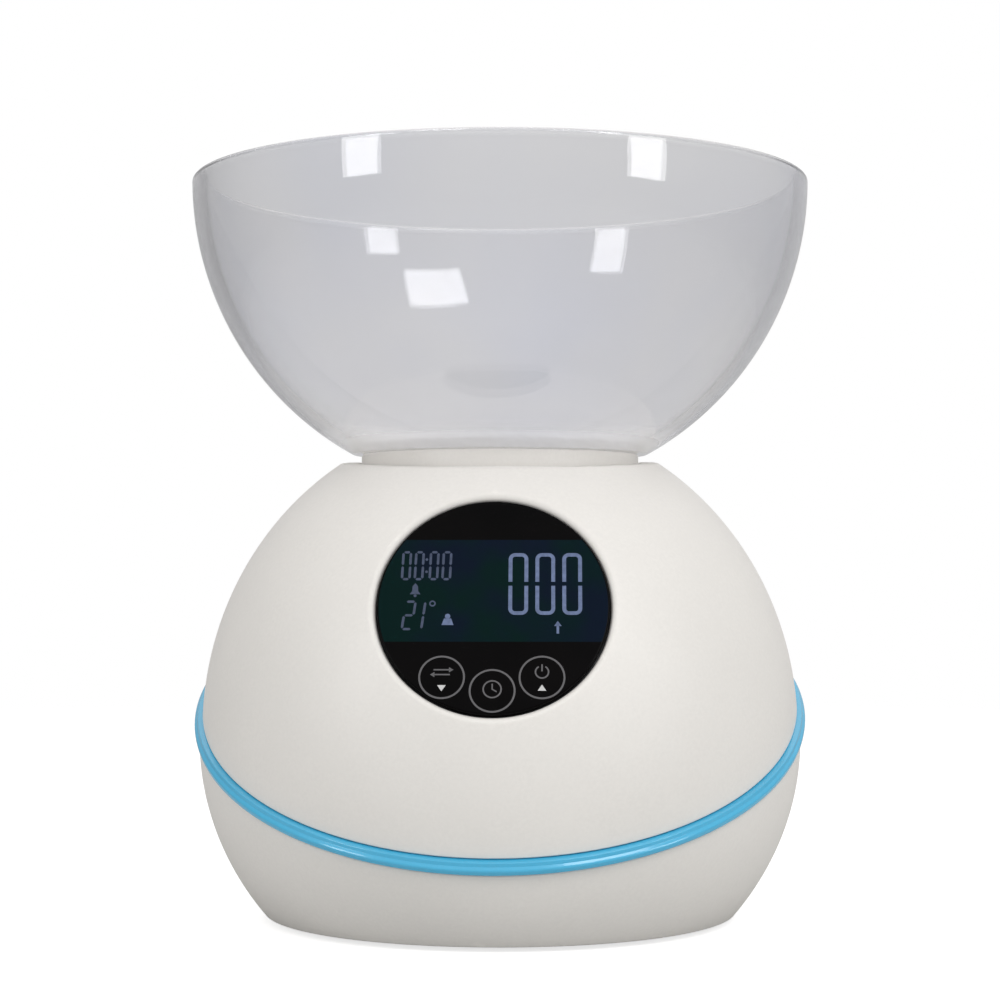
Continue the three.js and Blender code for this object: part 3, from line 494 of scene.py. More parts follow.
WHITE = (0.77, 0.75, 0.715)
SKY_BLUE = (0.060, 0.43, 0.68)
MATERIALS = {
    "shell_plastic": moulded("shell_plastic", WHITE, (0.42, 0.54)),
    "ring_plastic": moulded("ring_plastic", SKY_BLUE, (0.14, 0.24), grain_height=2e-6, Coat_Weight=0.5),
    "clear_plastic": clear_plastic(),
    "lens_black": window_black(),
    "inner_plastic": moulded("inner_plastic", (0.022, 0.023, 0.025), (0.5, 0.65)),
    "inner_plastic_white": moulded("inner_plastic_white", (0.70, 0.69, 0.66), (0.45, 0.6)),
    "lcd_glass": moulded("lcd_glass", (0.014, 0.040, 0.040), (0.05, 0.12), grain_height=1e-6),
    "diffuser_plastic": moulded("diffuser_plastic", (0.82, 0.84, 0.86), (0.35, 0.5)),
    "silicone": moulded("silicone", (0.86, 0.85, 0.80), (0.5, 0.68)),
    "conductive_foam": moulded("conductive_foam", (0.045, 0.045, 0.05), (0.8, 0.95), 1400, 6e-5, 0.2),
    "board_laminate": board_laminate(),
    "chip_epoxy": moulded("chip_epoxy", (0.016, 0.016, 0.017), (0.55, 0.7), 3200, 1e-5),
    "cell_aluminium": brushed_metal("cell_aluminium", (0.78, 0.78, 0.79), stretch=(14, 1, 1)),
    "cell_steel": brushed_metal("cell_steel", (0.62, 0.62, 0.61), stretch=(1, 14, 14)),
    "contact_steel": brushed_metal("contact_steel", (0.72, 0.71, 0.68)),
    "screw_steel": brushed_metal("screw_steel", (0.60, 0.60, 0.61)),
    "lead_insulation": moulded("lead_insulation", (0.55, 0.04, 0.035), (0.35, 0.5), variation=0.08),
    "foot_rubber": moulded("foot_rubber", (0.30, 0.30, 0.295), (0.75, 0.9), 1800, 2e-5, 0.06),
}
display_teal = display_field()
digit_glow = lit_print("digit_glow", (0.100, 0.135, 0.240), 0.2)
small_digit_glow = lit_print("small_digit_glow", (0.038, 0.053, 0.095), 0.2)
key_ink = moulded("key_ink", (0.085, 0.083, 0.088), (0.25, 0.4), grain_height=1e-6)
arrow_ink = moulded("arrow_ink", (0.50, 0.50, 0.50), (0.25, 0.4), grain_height=1e-6)


# ---- Casing ----

def dome_shell():
    """The dome's skin, from its edge above the ring up over the crown, down the opening and back inside."""
    bottom_edge, crown_edge, opening_edge, sinking = 0.5 * MM, 1.6 * MM, 0.7 * MM, 1 * MM
    outer_steps, inner_steps = 72, 40
    inner_top = CROWN_Z - CROWN_DROP - WALL - sinking
    start_margin = 2 * bottom_edge / DOME["rise"]
    end_margin = 1.5 * crown_edge / DOME["rise"]
    columns = []
    for azimuth in turn_points(ROUND):
        lowering = OPENING_RADIUS * math.sin(azimuth) * math.tan(CROWN_TILT) - CROWN_DROP
        start = theta_at_plane(DOME, azimuth, ring_edge(1), RING_TILT)
        end = theta_at_plane(DOME, azimuth, CROWN_Z - CROWN_DROP, CROWN_TILT)
        end = min(end, theta_at_plane(DOME, azimuth, CROWN_Z, 0))
        inner_start = theta_at_plane(DOME, azimuth, ring_edge(1), RING_TILT, WALL)
        inner_end = theta_at_plane(DOME, azimuth, inner_top, 0, WALL)
        corners = [(*ellipse_at(DOME, inner_start, WALL), 0), (*ellipse_at(DOME, start), bottom_edge)]
        corners += ellipse_run(DOME, start + start_margin, end - end_margin, outer_steps)
        corners.append((*ellipse_at(DOME, end), crown_edge))
        corners.append((OPENING_RADIUS, CROWN_Z + min(0.0, lowering), opening_edge))
        corners.append((OPENING_RADIUS, CROWN_Z - COLLAR_DEPTH, 0))
        corners.append((OPENING_RADIUS + COLLAR_WALL, CROWN_Z - COLLAR_DEPTH, 0))
        corners.append((OPENING_RADIUS + COLLAR_WALL, inner_top, 0))
        corners += ellipse_run(DOME, inner_end, inner_start + start_margin, inner_steps, WALL)
        columns.append(upright(azimuth, rounded(corners, FINE_CORNER_STEPS)))
    return cut(build("dome_shell", *loft(columns, False)), window_tool())


def lens_point(right, up, out):
    """A point by how far it is to the right of the window's middle, up its face and out from it."""
    return LENS_CENTRE + LENS_RIGHT * right + LENS_UP * up + LENS_OUT * out


def dome_depth(right, up):
    """How far the dome's surface stands out from the window's plane, at a place on the window."""
    return reach_to_dome(lens_point(right, up, 0), LENS_OUT)


def window_tool():
    """What is cut from the dome for the window, with a flared edge that leaves the dome a rounded one."""
    radius, edge, depth, height = LENS_RADIUS + LENS_GAP, 1.8 * MM, 9 * MM, 8 * MM
    lead_out, crease, steps = 1.2 * MM, math.radians(7), 10
    columns = []
    for angle in turn_points(ROUND):
        right, up = math.cos(angle), math.sin(angle)
        middle = radius + edge
        surface = dome_depth(middle * right, middle * up)
        slope = math.atan2(dome_depth(radius * right, radius * up) - surface, edge)
        centre = surface - edge / math.cos(slope)
        profile = [(radius, -depth)]
        stop = math.pi / 2 - slope + crease
        for step in range(steps + 1):
            turn = math.pi + (stop - math.pi) * step / steps
            profile.append((middle + edge * math.cos(turn), centre + edge * math.sin(turn)))
        last = profile[-1]
        profile.append((last[0] + lead_out * math.sin(stop), last[1] - lead_out * math.cos(stop)))
        profile.append((profile[-1][0], height))
        columns.append([lens_point(r * right, r * up, out) for r, out in profile])
    return build("tool", *loft(columns, True))


def tub_shell():
    """The tub's skin and flat bottom, with the posts, wells, recesses and screw holes in its underside."""
    top_edge, bottom_edge, near_axis = 0.5 * MM, 1.4 * MM, 1 * MM
    outer_steps, inner_steps = 56, 24
    bottom = tub_low.z
    margin = 2 * bottom_edge / TUB["rise"]
    columns = []
    for azimuth in turn_points(ROUND):
        end = theta_at_plane(TUB, azimuth, ring_edge(-1), RING_TILT)
        start = theta_at_plane(TUB, azimuth, bottom, 0)
        inner_end = theta_at_plane(TUB, azimuth, ring_edge(-1), RING_TILT, WALL)
        inner_start = theta_at_plane(TUB, azimuth, bottom + WALL, 0, WALL)
        corners = [(near_axis, bottom, 0), (*ellipse_at(TUB, start), bottom_edge)]
        corners += ellipse_run(TUB, start + margin, end - margin, outer_steps)
        corners.append((*ellipse_at(TUB, end), top_edge))
        corners += ellipse_run(TUB, inner_end, inner_start, inner_steps, WALL)
        corners.append((near_axis, bottom + WALL, 0))
        columns.append(upright(azimuth, rounded(corners, FINE_CORNER_STEPS)[1:-1]))
    tub = build("tub_shell", *loft(columns, True))
    for place in middles("case_screw_"):
        tub = join(tub, post(place))
    housing = DOOR_RADIUS + DOOR_GAP + DOOR_TAB + WALL
    tub = join(tub, rod(housing, bottom + WALL / 2, POCKET_TOP + WALL, *DOOR_MIDDLE))
    for tool in underside_tools(bottom):
        tub = cut(tub, tool)
    return tub


def middles(start):
    """The middles of the nodes whose names start with this."""
    boxes = [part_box(name) for name in sorted(frame["nodes"]) if name.startswith(start)]
    return [(low + high) / 2 for low, high in boxes]


def post(place):
    """A post from the tub's floor up to the ring's plane, round a case screw."""
    columns = []
    for angle in turn_points(DETAIL):
        x, y = place.x + POST_RADIUS * math.cos(angle), place.y + POST_RADIUS * math.sin(angle)
        top = ring_edge(-1) + y * math.tan(RING_TILT)
        columns.append([Vector((x, y, tub_low.z + WALL / 2)), Vector((x, y, top))])
    return build("tool", *loft(columns, True))


def underside_tools(bottom):
    """What is cut from the tub's flat bottom: battery compartment, screw wells and holes, and recesses."""
    recess = DOOR_RADIUS + DOOR_GAP
    groove_bottom, groove_top = bottom + DOOR_GROOVE["bottom"], bottom + DOOR_GROOVE["top"]
    yield rod(recess, bottom - PAST, RECESS_TOP, *DOOR_MIDDLE)
    yield rod(recess + DOOR_TAB, groove_bottom, groove_top, *DOOR_MIDDLE)
    yield rod(POCKET_RADIUS, bottom, POCKET_TOP, *DOOR_MIDDLE)
    turn = Matrix.Translation((*DOOR_MIDDLE, 0)) @ Matrix.Rotation(DOOR_TURN, 4, "Z")
    yield bar(2 * (recess + DOOR_TAB), DOOR_NOTCH_WIDTH, bottom - PAST, groove_top - SEAT_GAP, turn)
    for place in middles("case_screw_"):
        seat = ring_middle_at(place.y) - SCREW_GRIP
        yield rod(HEAD_HOLE, bottom - PAST, seat, place.x, place.y)
        yield rod(SCREW_HOLE, seat - PAST, ring_middle_at(place.y) + PAST, place.x, place.y)
    for place in middles("cell_screw_"):
        yield rod(HEAD_HOLE, bottom - PAST, bottom + HEAD_RECESS, place.x, place.y)
        yield rod(SCREW_HOLE, bottom - PAST, bottom + WALL + PAST, place.x, place.y)
    for place in middles("overload_stop"):
        yield rod(SCREW_HOLE, bottom - PAST, bottom + WALL + PAST, place.x, place.y)
    for place in middles("foot_"):
        yield rod(FOOT_RADIUS + SEAT_GAP, bottom - PAST, bottom + FOOT_RECESS, place.x, place.y)


dress(tub_shell(), "base", "shell_plastic", "lower_shell")
dress(dome_shell(), "base", "shell_plastic", "upper_shell")


def accent_ring():
    """Ring with a flat ledge above and a round bead below it, in a plane that is low at the front."""
    half = RING_HEIGHT / 2
    section = rounded([
        (-RING_DEPTH, -half, 0),
        (RING_PROUD * 0.35, -half, 0.3 * MM),
        (RING_PROUD * 0.92, -half * 0.62, 0.9 * MM),
        (RING_PROUD, half * 0.12, 1.0 * MM),
        (RING_PROUD * 0.62, half * 0.5, 0.22 * MM),
        (RING_PROUD * 0.5, half, 0.3 * MM),
        (-RING_DEPTH, half, 0),
    ], FINE_CORNER_STEPS)
    cos, sin = math.cos(RING_TILT), math.sin(RING_TILT)
    columns = []
    for angle in turn_points(ROUND):
        way = Vector((math.cos(angle), math.sin(angle) * cos, math.sin(angle) * sin))
        reach = reach_to_dome(Vector((0, 0, RING_MIDDLE)), way)
        column = []
        for out, height in section:
            along = (reach + out) * math.sin(angle)
            x = (reach + out) * math.cos(angle)
            column.append(Vector((x, along * cos - height * sin, RING_MIDDLE + along * sin + height * cos)))
        columns.append(column)
    return build("ring_band", *loft(columns, False))


dress(accent_ring(), "base", "ring_plastic", "accent_ring", crease=50)

# ---- Bowl and platform ----


def bowl_piece():
    """Thick clear bowl: part of an ellipse inside and out, a rounded rim and a flat bottom."""
    rim, bottom, radius = bowl_high.z, bowl_low.z, bowl_high.x
    outer = {"radius": radius, "rise": BOWL_RISE, "centre": rim}
    lip, foot, inner_corner, steps = 1.2 * MM, 0.8 * MM, 1.2 * MM, 90
    floor = bottom + BOWL_FLOOR
    start = theta_at_plane(outer, 0, bottom, 0)
    inner_end = theta_at_plane(outer, 0, floor, 0, BOWL_WALL)
    margin = 3 * lip / BOWL_RISE
    corners = [(0, bottom, 0), (*ellipse_at(outer, start), foot)]
    corners += ellipse_run(outer, start + margin, -margin, steps)
    corners += [(radius, rim, lip), (radius - BOWL_WALL, rim, lip)]
    corners += ellipse_run(outer, -margin, inner_end + margin, steps, BOWL_WALL)
    corners += [(*ellipse_at(outer, inner_end, BOWL_WALL), inner_corner), (0, floor, 0)]
    return turned("clear_bowl", corners, ROUND, steps=FINE_CORNER_STEPS)


def platform_piece():
    """Round plate with a skirt, and the bosses that its screws hold."""
    top, bottom, radius = platform_high.z, platform_low.z, platform_high.x
    plate, skirt, edge, top_edge, skin = 2.5 * MM, 2 * MM, 0.4 * MM, 0.7 * MM, 2 * MM
    inside = radius - skirt
    corners = [(0, top - plate, 0), (inside, top - plate, edge), (inside, bottom, edge)]
    corners += [(radius, bottom, edge), (radius, top, top_edge), (0, top, 0)]
    piece = turned("weighing_plate", corners, ROUND)
    for place in middles("platform_screw_"):
        piece = join(piece, rod(PLATFORM_BOSS_RADIUS, bottom, top - plate / 2, place.x, place.y))
        piece = cut(piece, rod(SCREW_HOLE, bottom - plate, top - skin, place.x, place.y))
    return piece


dress(bowl_piece(), "bowl", "clear_plastic", "bowl", crease=60)
dress(platform_piece(), "weighing_platform", "shell_plastic", "platform")

# ---- Feet, screws and battery door ----


def middle_and_radius(name):
    """Where a round node's axis is, as a place, and the node's radius and its lowest and highest height."""
    low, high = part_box(name)
    place = Matrix.Translation(((low.x + high.x) / 2, (low.y + high.y) / 2, 0))
    return place, (high.x - low.x) / 2, low.z, high.z


def foot_piece(name):
    """Rubber foot: a round pad with a soft edge, a shallow ring groove and a dimple in its lower face."""
    place, radius, bottom, top = middle_and_radius(name)
    dip, soft, dimple_soft, edge = bottom + 0.35 * MM, 0.3 * MM, 0.5 * MM, 0.7 * MM
    corners = [(0, dip, 0), (radius * 0.2, dip, dimple_soft), (radius * 0.28, bottom, dimple_soft)]
    corners += [(radius * 0.56, bottom, soft), (radius * 0.6, dip, soft), (radius * 0.68, dip, soft)]
    corners += [(radius * 0.72, bottom, soft), (radius, bottom, edge), (radius, top, soft), (0, top, 0)]
    pad = turned("pad_" + name, corners, place=place)
    dress(pad, "base", "foot_rubber", name)


def screw_piece(name, head_height):
    """Pan-head screw with a cross recess, a thread and a pointed end. Its head is at the bottom."""
    place, head, bottom, top = middle_and_radius(name)
    shank, core, pitch = head / 2, head * 0.4, 0.9 * MM
    slot_length, slot_width, slot_turn = head * 1.15, head * 0.26, math.radians(20)
    slot_depth = min(1 * MM, head_height * 0.7)
    seat = bottom + head_height
    corners = [(0, bottom, 0), (head, bottom, 0.35 * head_height), (head, seat, 0.05 * MM)]
    corners.append((core, seat, 0.1 * MM))
    level = seat + pitch
    while level < top - shank - pitch:
        corners += [(core, level, 0), (shank, level + pitch * 0.35, 0), (core, level + pitch * 0.7, 0)]
        level += pitch
    corners += [(core, top - shank, 0), (0, top, 0)]
    made = turned("made_" + name, corners, THREAD_DETAIL, place, steps=4)
    for turn in (slot_turn, slot_turn + math.pi / 2):
        slot_place = place @ Matrix.Rotation(turn, 4, "Z")
        slot = bar(slot_length, slot_width, bottom - head_height, bottom + slot_depth, slot_place)
        made = cut(made, slot)
    dress(made, "base", "screw_steel", name)


def stop_piece():
    """Set screw with a hexagon socket in its lower end."""
    place, radius, bottom, top = middle_and_radius("overload_stop")
    core, tip, tip_height, pitch, hexagon = radius * 0.84, radius * 0.6, 0.2 * MM, 0.7 * MM, 6
    corners = [(0, bottom, 0), (core, bottom, 0)]
    level = bottom + pitch / 2
    while level < top - pitch:
        corners += [(core, level, 0), (radius, level + pitch / 2, 0)]
        level += pitch
    corners += [(core, top - tip_height, 0), (tip, top, 0), (0, top, 0)]
    made = turned("set_screw", corners, THREAD_DETAIL, place)
    x, y = place.translation.xy
    made = cut(made, rod(radius / 2, bottom - pitch, bottom + 2 * pitch, x, y, hexagon))
    dress(made, "base", "screw_steel", "overload_stop")


def arrow_tool(radius, half_width, bottom, top):
    """A curved arrow about the door's middle, to cut with. It shows which way the door turns."""
    start, sweep, head, steps = math.radians(70), math.radians(40), math.radians(13), 12
    run = [start + sweep * i / steps for i in range(steps + 1)]
    outline = [(radius + half_width, a) for a in run]
    barb = 3 * half_width
    outline += [(radius + barb, run[-1]), (radius, run[-1] + head), (radius - barb, run[-1])]
    outline += [(radius - half_width, a) for a in reversed(run)]
    x, y = DOOR_MIDDLE
    columns = [
        [Vector((x + r * math.cos(a), y + r * math.sin(a), z)) for z in (bottom, top)]
        for r, a in outline
    ]
    return build("tool", *loft(columns, True))


def door_piece():
    """Battery door: a hollow disc with two tabs, a coin slot, a sunk ring and a sunk arrow."""
    place = Matrix.Translation((*DOOR_MIDDLE, 0))
    bottom, top, inside = door_low.z, door_high.z, tub_low.z + DOOR_GROOVE["bottom"]
    rim, groove, soft, edge = 2.2 * MM, 0.35 * MM, 0.3 * MM, 0.5 * MM
    ring_soft, ring_corner = 0.15 * MM, 0.1 * MM
    hollow, sunk = DOOR_RADIUS - rim, bottom + groove
    corners = [(0, bottom, 0), (DOOR_RADIUS * 0.82, bottom, ring_soft)]
    corners += [(DOOR_RADIUS * 0.84, sunk, ring_corner), (DOOR_RADIUS * 0.88, sunk, ring_corner)]
    corners += [(DOOR_RADIUS * 0.9, bottom, ring_soft), (DOOR_RADIUS, bottom, edge), (DOOR_RADIUS, top, soft)]
    corners += [(hollow, top, soft), (hollow, inside, soft), (0, inside, 0)]
    door = turned("battery_cover", corners, ROUND, place)
    reach, tab_width, tab_height = (door_high.x - door_low.x) / 2, 5.5 * MM, 1.4 * MM
    for side in (-1, 1):
        middle = Matrix.Translation((side * (reach + DOOR_RADIUS - rim / 2) / 2, 0, 0))
        length = reach - DOOR_RADIUS + rim / 2
        door = join(door, bar(length, tab_width, top - tab_height, top, place @ middle))
    slot_length, slot_width, slot_depth = 15 * MM, 2 * MM, 1 * MM
    door = cut(door, bar(slot_length, slot_width, bottom - rim, bottom + slot_depth, place))
    door = cut(door, arrow_tool(DOOR_RADIUS * 0.62, 0.45 * MM, bottom - rim, sunk))
    dress(door, "battery_door", "shell_plastic", "battery_door")


for node in sorted(frame["nodes"]):
    if node.startswith("foot_"):
        foot_piece(node)
    if node.startswith("case_screw_"):
        screw_piece(node, CASE_HEAD_HEIGHT)
    if node.startswith("cell_screw_"):
        screw_piece(node, CELL_HEAD_HEIGHT)
stop_piece()
door_piece()

# ---- Display ----


def display_window():
    """Glossy black window whose face is split into the black bands and the display field between them."""
    field_top, field_bottom, edge = 21.4 * MM, -11.6 * MM, 0.5 * MM
    back = -LENS_THICKNESS
    corners = [(0, back, 0), (LENS_RADIUS, back, 0), (LENS_RADIUS, 0, edge), (0, 0, 0)]
    place = Matrix((
        (1, 0, 0, LENS_CENTRE.x),
        (0, LENS_UP.y, LENS_OUT.y, LENS_CENTRE.y),
        (0, LENS_UP.z, LENS_OUT.z, LENS_CENTRE.z),
        (0, 0, 0, 1),
    ))
    window = turned("display_window", corners, 2 * DETAIL, place)
    dress(window, "base", "lens_black", "display_lens")
    window.data.materials.append(display_teal)
    shape = bmesh.new()
    shape.from_mesh(window.data)
    facing_out, most_corners_elsewhere = 0.99, 8

    def front_faces():
        facing = [f for f in shape.faces if f.normal.dot(LENS_OUT) > facing_out]
        return [f for f in facing if len(f.verts) > most_corners_elsewhere]

    for up in (field_top, field_bottom):
        face = front_faces()
        geometry = face + list({e for f in face for e in f.edges}) + list({v for f in face for v in f.verts})
        bmesh.ops.bisect_plane(shape, geom=geometry, plane_co=lens_point(0, up, 0), plane_no=LENS_UP)
    for face in front_faces():
        up = (face.calc_center_median() - LENS_CENTRE).dot(LENS_UP)
        if field_bottom < up < field_top:
            face.material_index = 1
    shape.to_mesh(window.data)
    shape.free()


display_window()


class Print:
    """Flat shapes on the window, gathered into one mesh. Places and sizes are in millimetres, to the right of
    the window's middle and up from it."""

    LOW, HIGH = -0.02 * MM, 0.035 * MM
    DISC_SIDES = 24

    def __init__(self):
        self.vertices = []
        self.faces = []

    def plate(self, outline):
        """A filled outline."""
        first, count = len(self.vertices), len(outline)
        for out in (self.LOW, self.HIGH):
            self.vertices += [lens_point(x * MM, y * MM, out) for x, y in outline]
        self.faces.append(tuple(first + i for i in reversed(range(count))))
        self.faces.append(tuple(first + count + i for i in range(count)))
        for i in range(count):
            j = (i + 1) % count
            self.faces.append((first + i, first + j, first + count + j, first + count + i))

    def line(self, path, width, closed=False):
        """A line of even width along a path."""
        first, count = len(self.vertices), len(path)
        for i, here in enumerate(path):
            before = path[i - 1] if closed or i else here
            after = path[(i + 1) % count] if closed or i < count - 1 else here
            way = (Vector(after) - Vector(before)).normalized()
            side = Vector((-way.y, way.x)) * width / 2
            for edge, out in ((side, self.LOW), (side, self.HIGH), (-side, self.HIGH), (-side, self.LOW)):
                point = Vector(here) + edge
                self.vertices.append(lens_point(point.x * MM, point.y * MM, out))
        for i in range(count if closed else count - 1):
            here, there = first + 4 * i, first + 4 * ((i + 1) % count)
            for j in range(4):
                k = (j + 1) % 4
                self.faces.append((here + j, here + k, there + k, there + j))
        if not closed:
            last = first + 4 * (count - 1)
            self.faces.append((first + 3, first + 2, first + 1, first))
            self.faces.append((last, last + 1, last + 2, last + 3))

    def disc(self, x, y, radius):
        """A filled circle."""
        angles = turn_points(self.DISC_SIDES)
        self.plate([(x + radius * math.cos(a), y + radius * math.sin(a)) for a in angles])

    def piece(self, name, material, slot):
        """One piece of all the shapes."""
        dress(build(name, self.vertices, self.faces), "base", slot, material=material)


def arc(x, y, radius, start, end, steps=32):
    """Points on an arc, between two angles in degrees from the right."""
    angles = [math.radians(start + (end - start) * i / steps) for i in range(steps + 1)]
    return [(x + radius * math.cos(a), y + radius * math.sin(a)) for a in angles]


def tall_zero(sheet, x, y, width, height, stroke, gap):
    """A tall zero made of an upper and a lower half, each one bent line."""
    radius = 0.3 * width
    for side in (-1, 1):
        end = y + side * height / 2
        start = y + side * gap / 2
        corners = [(x - width / 2, start, 0), (x - width / 2, end, radius), (x + width / 2, end, radius)]
        sheet.line([tuple(p) for p in rounded([*corners, (x + width / 2, start, 0)])], stroke)


SEGMENTS = {"0": "abcdef", "1": "bc", "2": "abged"}
SMALL_STROKE = 0.75
SMALL_HEIGHT = 8.8


def small_digit(sheet, figure, x, y, width, slant):
    """A seven-segment figure, of straight segments with pointed ends."""
    w, h, gap = width / 2, SMALL_HEIGHT / 2, 0.248 * SMALL_STROKE
    runs = {
        "a": ((-w, h), (w, h)),
        "b": ((w, h), (w, 0)),
        "c": ((w, 0), (w, -h)),
        "d": ((-w, -h), (w, -h)),
        "e": ((-w, 0), (-w, -h)),
        "f": ((-w, h), (-w, 0)),
        "g": ((-w, 0), (w, 0)),
    }
    for name in SEGMENTS[figure]:
        start, end = (Vector(p) for p in runs[name])
        way = (end - start).normalized()
        side = Vector((-way.y, way.x)) * SMALL_STROKE / 2
        start, end = start + way * gap, end - way * gap
        shoulder = way * SMALL_STROKE / 2
        outline = [start, start + shoulder + side, end - shoulder + side, end, end - shoulder - side]
        outline.append(start + shoulder - side)
        sheet.plate([(x + p.x + slant * p.y, y + p.y) for p in outline])


def bright_digits():
    """The weight: three tall zeros, and an arrow under them that is as bright."""
    sheet = Print()
    first, spacing = 7.35, 7.95
    for i in range(3):
        tall_zero(sheet, first + spacing * i, y=7.0, width=4.7, height=18.9, stroke=1.15, gap=1.3)
    x, foot, neck, half_width, tip = 19.0, -9.0, -6.6, 1.1, -5.0
    sheet.line([(x, tip - 0.4), (x, foot)], SMALL_STROKE)
    sheet.plate([(x - half_width, neck), (x + half_width, neck), (x, tip)])
    sheet.piece("weight_digits", digit_glow, "lcd_glass")


def bell(sheet, x, y):
    """A bell that stands on this point, with its clapper under it."""
    half = [(1.6, 0), (0.9, 1.0), (0.8, 2.6)]
    left = [(x - side, y + up) for side, up in half]
    right = [(x + side, y + up) for side, up in half]
    sheet.plate([left[0], *right, (x, y + 3.6), *reversed(left[1:])])
    sheet.disc(x, y - 0.5, 0.45)


def dim_digits():
    """Timer, temperature and bell at the left of the display."""
    sheet = Print()
    for x in (-25.9, -22.1, -17.7, -13.9):
        small_digit(sheet, "0", x, y=12.9, width=2.2, slant=0.03)
    for y in (10.9, 14.9):
        sheet.disc(-19.9, y, 0.42)
    small_digit(sheet, "2", x=-24.8, y=-3.2, width=2.8, slant=0.12)
    small_digit(sheet, "1", x=-21.6, y=-3.2, width=2.2, slant=0.12)
    degree = arc(x=-17.9, y=0.6, radius=0.75, start=0, end=360)
    sheet.line(degree[:-1], 0.45, closed=True)
    bell(sheet, -23.1, 3.6)
    sheet.piece("timer_digits", small_digit_glow, "lcd_glass")


def weight_mark():
    """A small weight with a knob, lit beside the temperature."""
    sheet = Print()
    x, bottom, top, half_foot, half_top = -13.35, -6.3, -4.2, 1.75, 1.05
    sheet.plate([(x - half_foot, bottom), (x + half_foot, bottom), (x + half_top, top), (x - half_top, top)])
    sheet.disc(x, top + 0.7, 0.8)
    sheet.piece("weight_mark", digit_glow, "lcd_glass")


KEYS = {"left": (-14.7, -22.8), "middle": (0, -27.0), "right": (14.4, -22.8)}
KEY_RADIUS = 6.5


def key_prints():
    """A thin circle round each touch key, and a symbol in it: change over, clock, and on or off."""
    sheet = Print()
    circle_line, curve, line = 0.55, 0.45, 0.42
    for x, y in KEYS.values():
        sheet.line(arc(x, y, KEY_RADIUS, 90, 450, DETAIL)[:-1], circle_line, closed=True)
    x, y = KEYS["left"]
    half_length, tip_length, head_length, half_head = 2.4, 3.4, 1.3, 0.8
    for side in (-1, 1):
        level = y + 1.6 + side * 0.75
        sheet.line([(x - half_length, level), (x + half_length, level)], line)
        tip = x + side * tip_length
        foot = tip - side * head_length
        sheet.plate([(tip, level), (foot, level + half_head), (foot, level - half_head)][::side])
    x, y = KEYS["middle"]
    sheet.line(arc(x, y + 0.5, 2.6, 0, 360)[:-1], curve, closed=True)
    sheet.line([(x, y + 2.2), (x, y + 0.5), (x + 1.3, y - 0.3)], line)
    x, y = KEYS["right"]
    sheet.line(arc(x, y + 1.7, 1.9, 120, 420), curve)
    sheet.line([(x, y + 4.1), (x, y + 1.9)], curve)
    sheet.piece("key_prints", key_ink, "lens_black")


def key_arrows():
    """Down and up arrows under the left and the right key's symbol."""
    sheet = Print()
    half_width, height, middle = 1.25, 1.9, -3.3
    for name, side in (("left", -1), ("right", 1)):
        x, y = KEYS[name]
        base = y + middle - side * 0.85
        sheet.plate([(x - half_width, base), (x + half_width, base), (x, base + side * height)][::side])
    sheet.piece("key_arrows", arrow_ink, "lens_black")


bright_digits()
dim_digits()
weight_mark()
key_prints()
key_arrows()

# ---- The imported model's own nodes keep their shapes and take their slot's material ----

for row in frame["record"]["subparts"]:
    mesh = frame["nodes"][row["node"]].data
    mesh.materials.clear()
    mesh.materials.append(MATERIALS[row["material_slot"]])

# ---- Studio ----


def studio_world():
    """White behind the scale, and round it a grey room, bright above and darker at the left and the right."""
    world = bpy.data.worlds.new("studio")
    bpy.context.scene.world = world
    world.use_nodes = True
    tree = world.node_tree
    tree.nodes.clear()
    place = tree.nodes.new("ShaderNodeTexCoord")
    parts = tree.nodes.new("ShaderNodeSeparateXYZ")
    room = tree.nodes.new("ShaderNodeBackground")
    white = tree.nodes.new("ShaderNodeBackground")
    path = tree.nodes.new("ShaderNodeLightPath")
    mix = tree.nodes.new("ShaderNodeMixShader")
    output = tree.nodes.new("ShaderNodeOutputWorld")
    tree.links.new(place.outputs["Generated"], parts.inputs["Vector"])
    below, level, above = (0.36, 0.36, 0.366), (0.41, 0.41, 0.418), (0.73, 0.72, 0.71)
    up = ramp(tree, parts.outputs["Z"], (0.0, below), (0.30, level), (0.75, above))
    across = spread(tree, parts.outputs["X"], 0, 1, -1, 1)
    left, middle, right = even(0.46), even(1), even(0.62)
    sides = ramp(tree, across, (0.08, left), (0.42, middle), (0.6, middle), (0.95, right))
    both = tree.nodes.new("ShaderNodeVectorMath")
    both.operation = "MULTIPLY"
    tree.links.new(up, both.inputs[0])
    tree.links.new(sides, both.inputs[1])
    tree.links.new(both.outputs["Vector"], room.inputs["Color"])
    room.inputs["Strength"].default_value = 1.6
    white.inputs["Color"].default_value = (1, 1, 1, 1)
    tree.links.new(path.outputs["Is Camera Ray"], mix.inputs["Fac"])
    tree.links.new(room.outputs["Background"], mix.inputs[1])
    tree.links.new(white.outputs["Background"], mix.inputs[2])
    tree.links.new(mix.outputs["Shader"], output.inputs["Surface"])


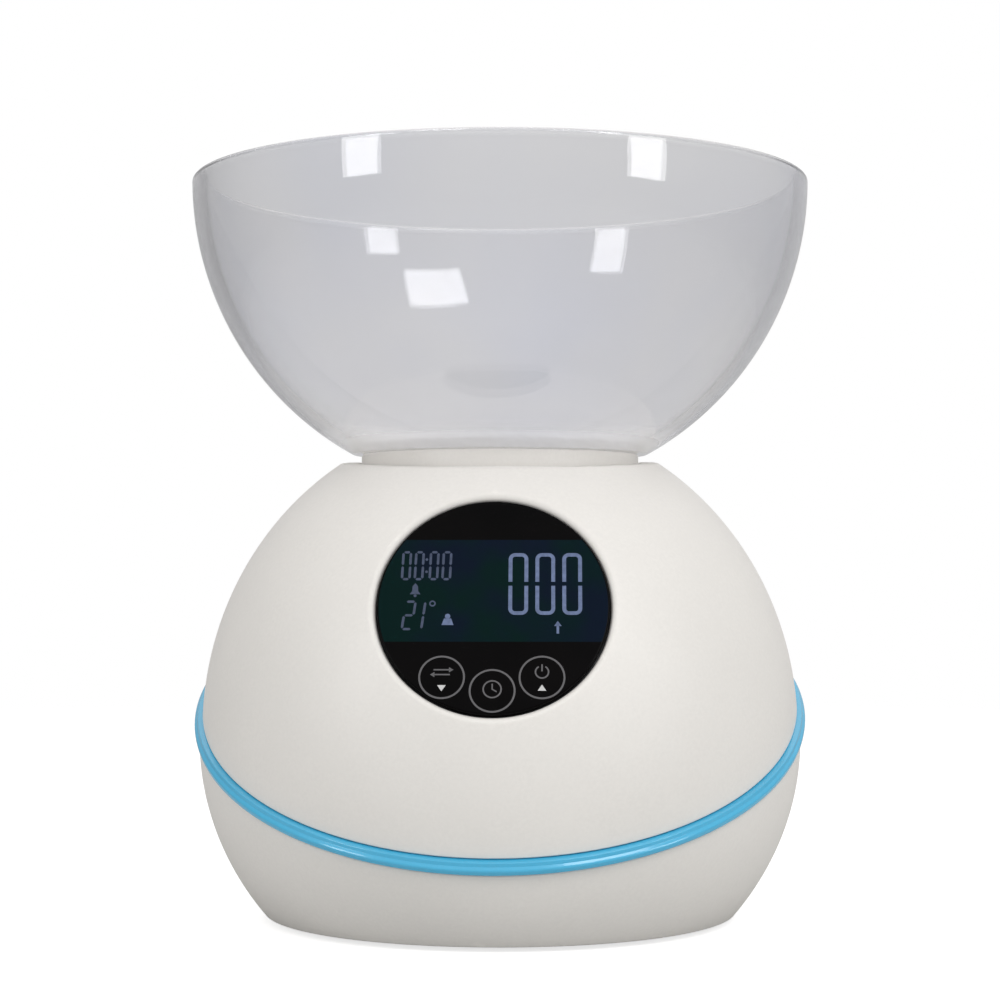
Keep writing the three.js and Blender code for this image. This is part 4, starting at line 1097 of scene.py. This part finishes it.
def pale_floor():
    """Round pale floor that is lit up where it is seen directly, and fades out into the white behind it."""
    radius = 1.5
    outline = [(radius * math.cos(a), radius * math.sin(a), 0) for a in turn_points(DETAIL)]
    floor = build("floor", outline, [tuple(range(DETAIL))])
    material, tree, shader = new_material("floor_paint", Roughness=0.9, Specular_IOR_Level=0.1)
    place = tree.nodes.new("ShaderNodeTexCoord")
    length = tree.nodes.new("ShaderNodeVectorMath")
    length.operation = "LENGTH"
    tree.links.new(place.outputs["Object"], length.inputs[0])
    path = tree.nodes.new("ShaderNodeLightPath")
    dull = ramp(tree, noise(tree, 30, 3), (0.3, (0.58, 0.58, 0.575)), (0.7, (0.61, 0.61, 0.605)))
    tree.links.new(dull, shader.inputs["Base Color"])
    shader.inputs["Emission Color"].default_value = (1, 1, 1, 1)
    glow = spread(tree, path.outputs["Is Camera Ray"], 0, 0.72, 0, 1)
    tree.links.new(glow, shader.inputs["Emission Strength"])
    tree.links.new(spread(tree, length.outputs["Value"], 1, 0, 0.35, 1.2), shader.inputs["Alpha"])
    floor.data.materials.append(material)


LIGHT_DISTANCE = 1.5
LIGHT_RADIANCE = 5.5
LIGHT_TARGET = Vector((0, 0, (bowl_low.z + bowl_high.z) / 2 + 20 * MM))


def softbox(name, azimuth, elevation, width, height):
    """A rectangular light aimed at the bowl, from a direction in degrees. Azimuth 0 is in front."""
    a, e = math.radians(azimuth), math.radians(elevation)
    back = Vector((math.sin(a) * math.cos(e), -math.cos(a) * math.cos(e), math.sin(e)))
    data = bpy.data.lights.new(name, "AREA")
    data.shape = "RECTANGLE"
    data.size, data.size_y = width, height
    data.energy = LIGHT_RADIANCE * math.pi * width * height
    light = bpy.data.objects.new(name, data)
    light.location = LIGHT_TARGET + back * LIGHT_DISTANCE
    light.rotation_euler = (-back).to_track_quat("-Z", "Y").to_euler()
    bpy.context.scene.collection.objects.link(light)


def camera():
    """At about half the scale's height, a little to its right, looking slightly up."""
    azimuth, distance, height, aim_height = math.radians(1.4), 0.754, 0.1127, 0.1361
    data = bpy.data.cameras.new("camera")
    data.lens = 82.2
    data.sensor_width = 36
    data.clip_start = 0.02
    seen = bpy.data.objects.new("camera", data)
    seen.location = (math.sin(azimuth) * distance, -math.cos(azimuth) * distance, height)
    aim = Vector((0, 0, aim_height)) - seen.location
    seen.rotation_euler = aim.to_track_quat("-Z", "Y").to_euler()
    bpy.context.scene.collection.objects.link(seen)
    bpy.context.scene.camera = seen


studio_world()
pale_floor()
softbox("left_softbox", azimuth=-48, elevation=13, width=0.36, height=0.80)
softbox("right_softbox", azimuth=54, elevation=9, width=0.36, height=0.62)
softbox("upper_softbox", azimuth=33, elevation=35, width=0.62, height=0.40)
camera()
bpy.context.scene.view_settings.view_transform = "Standard"
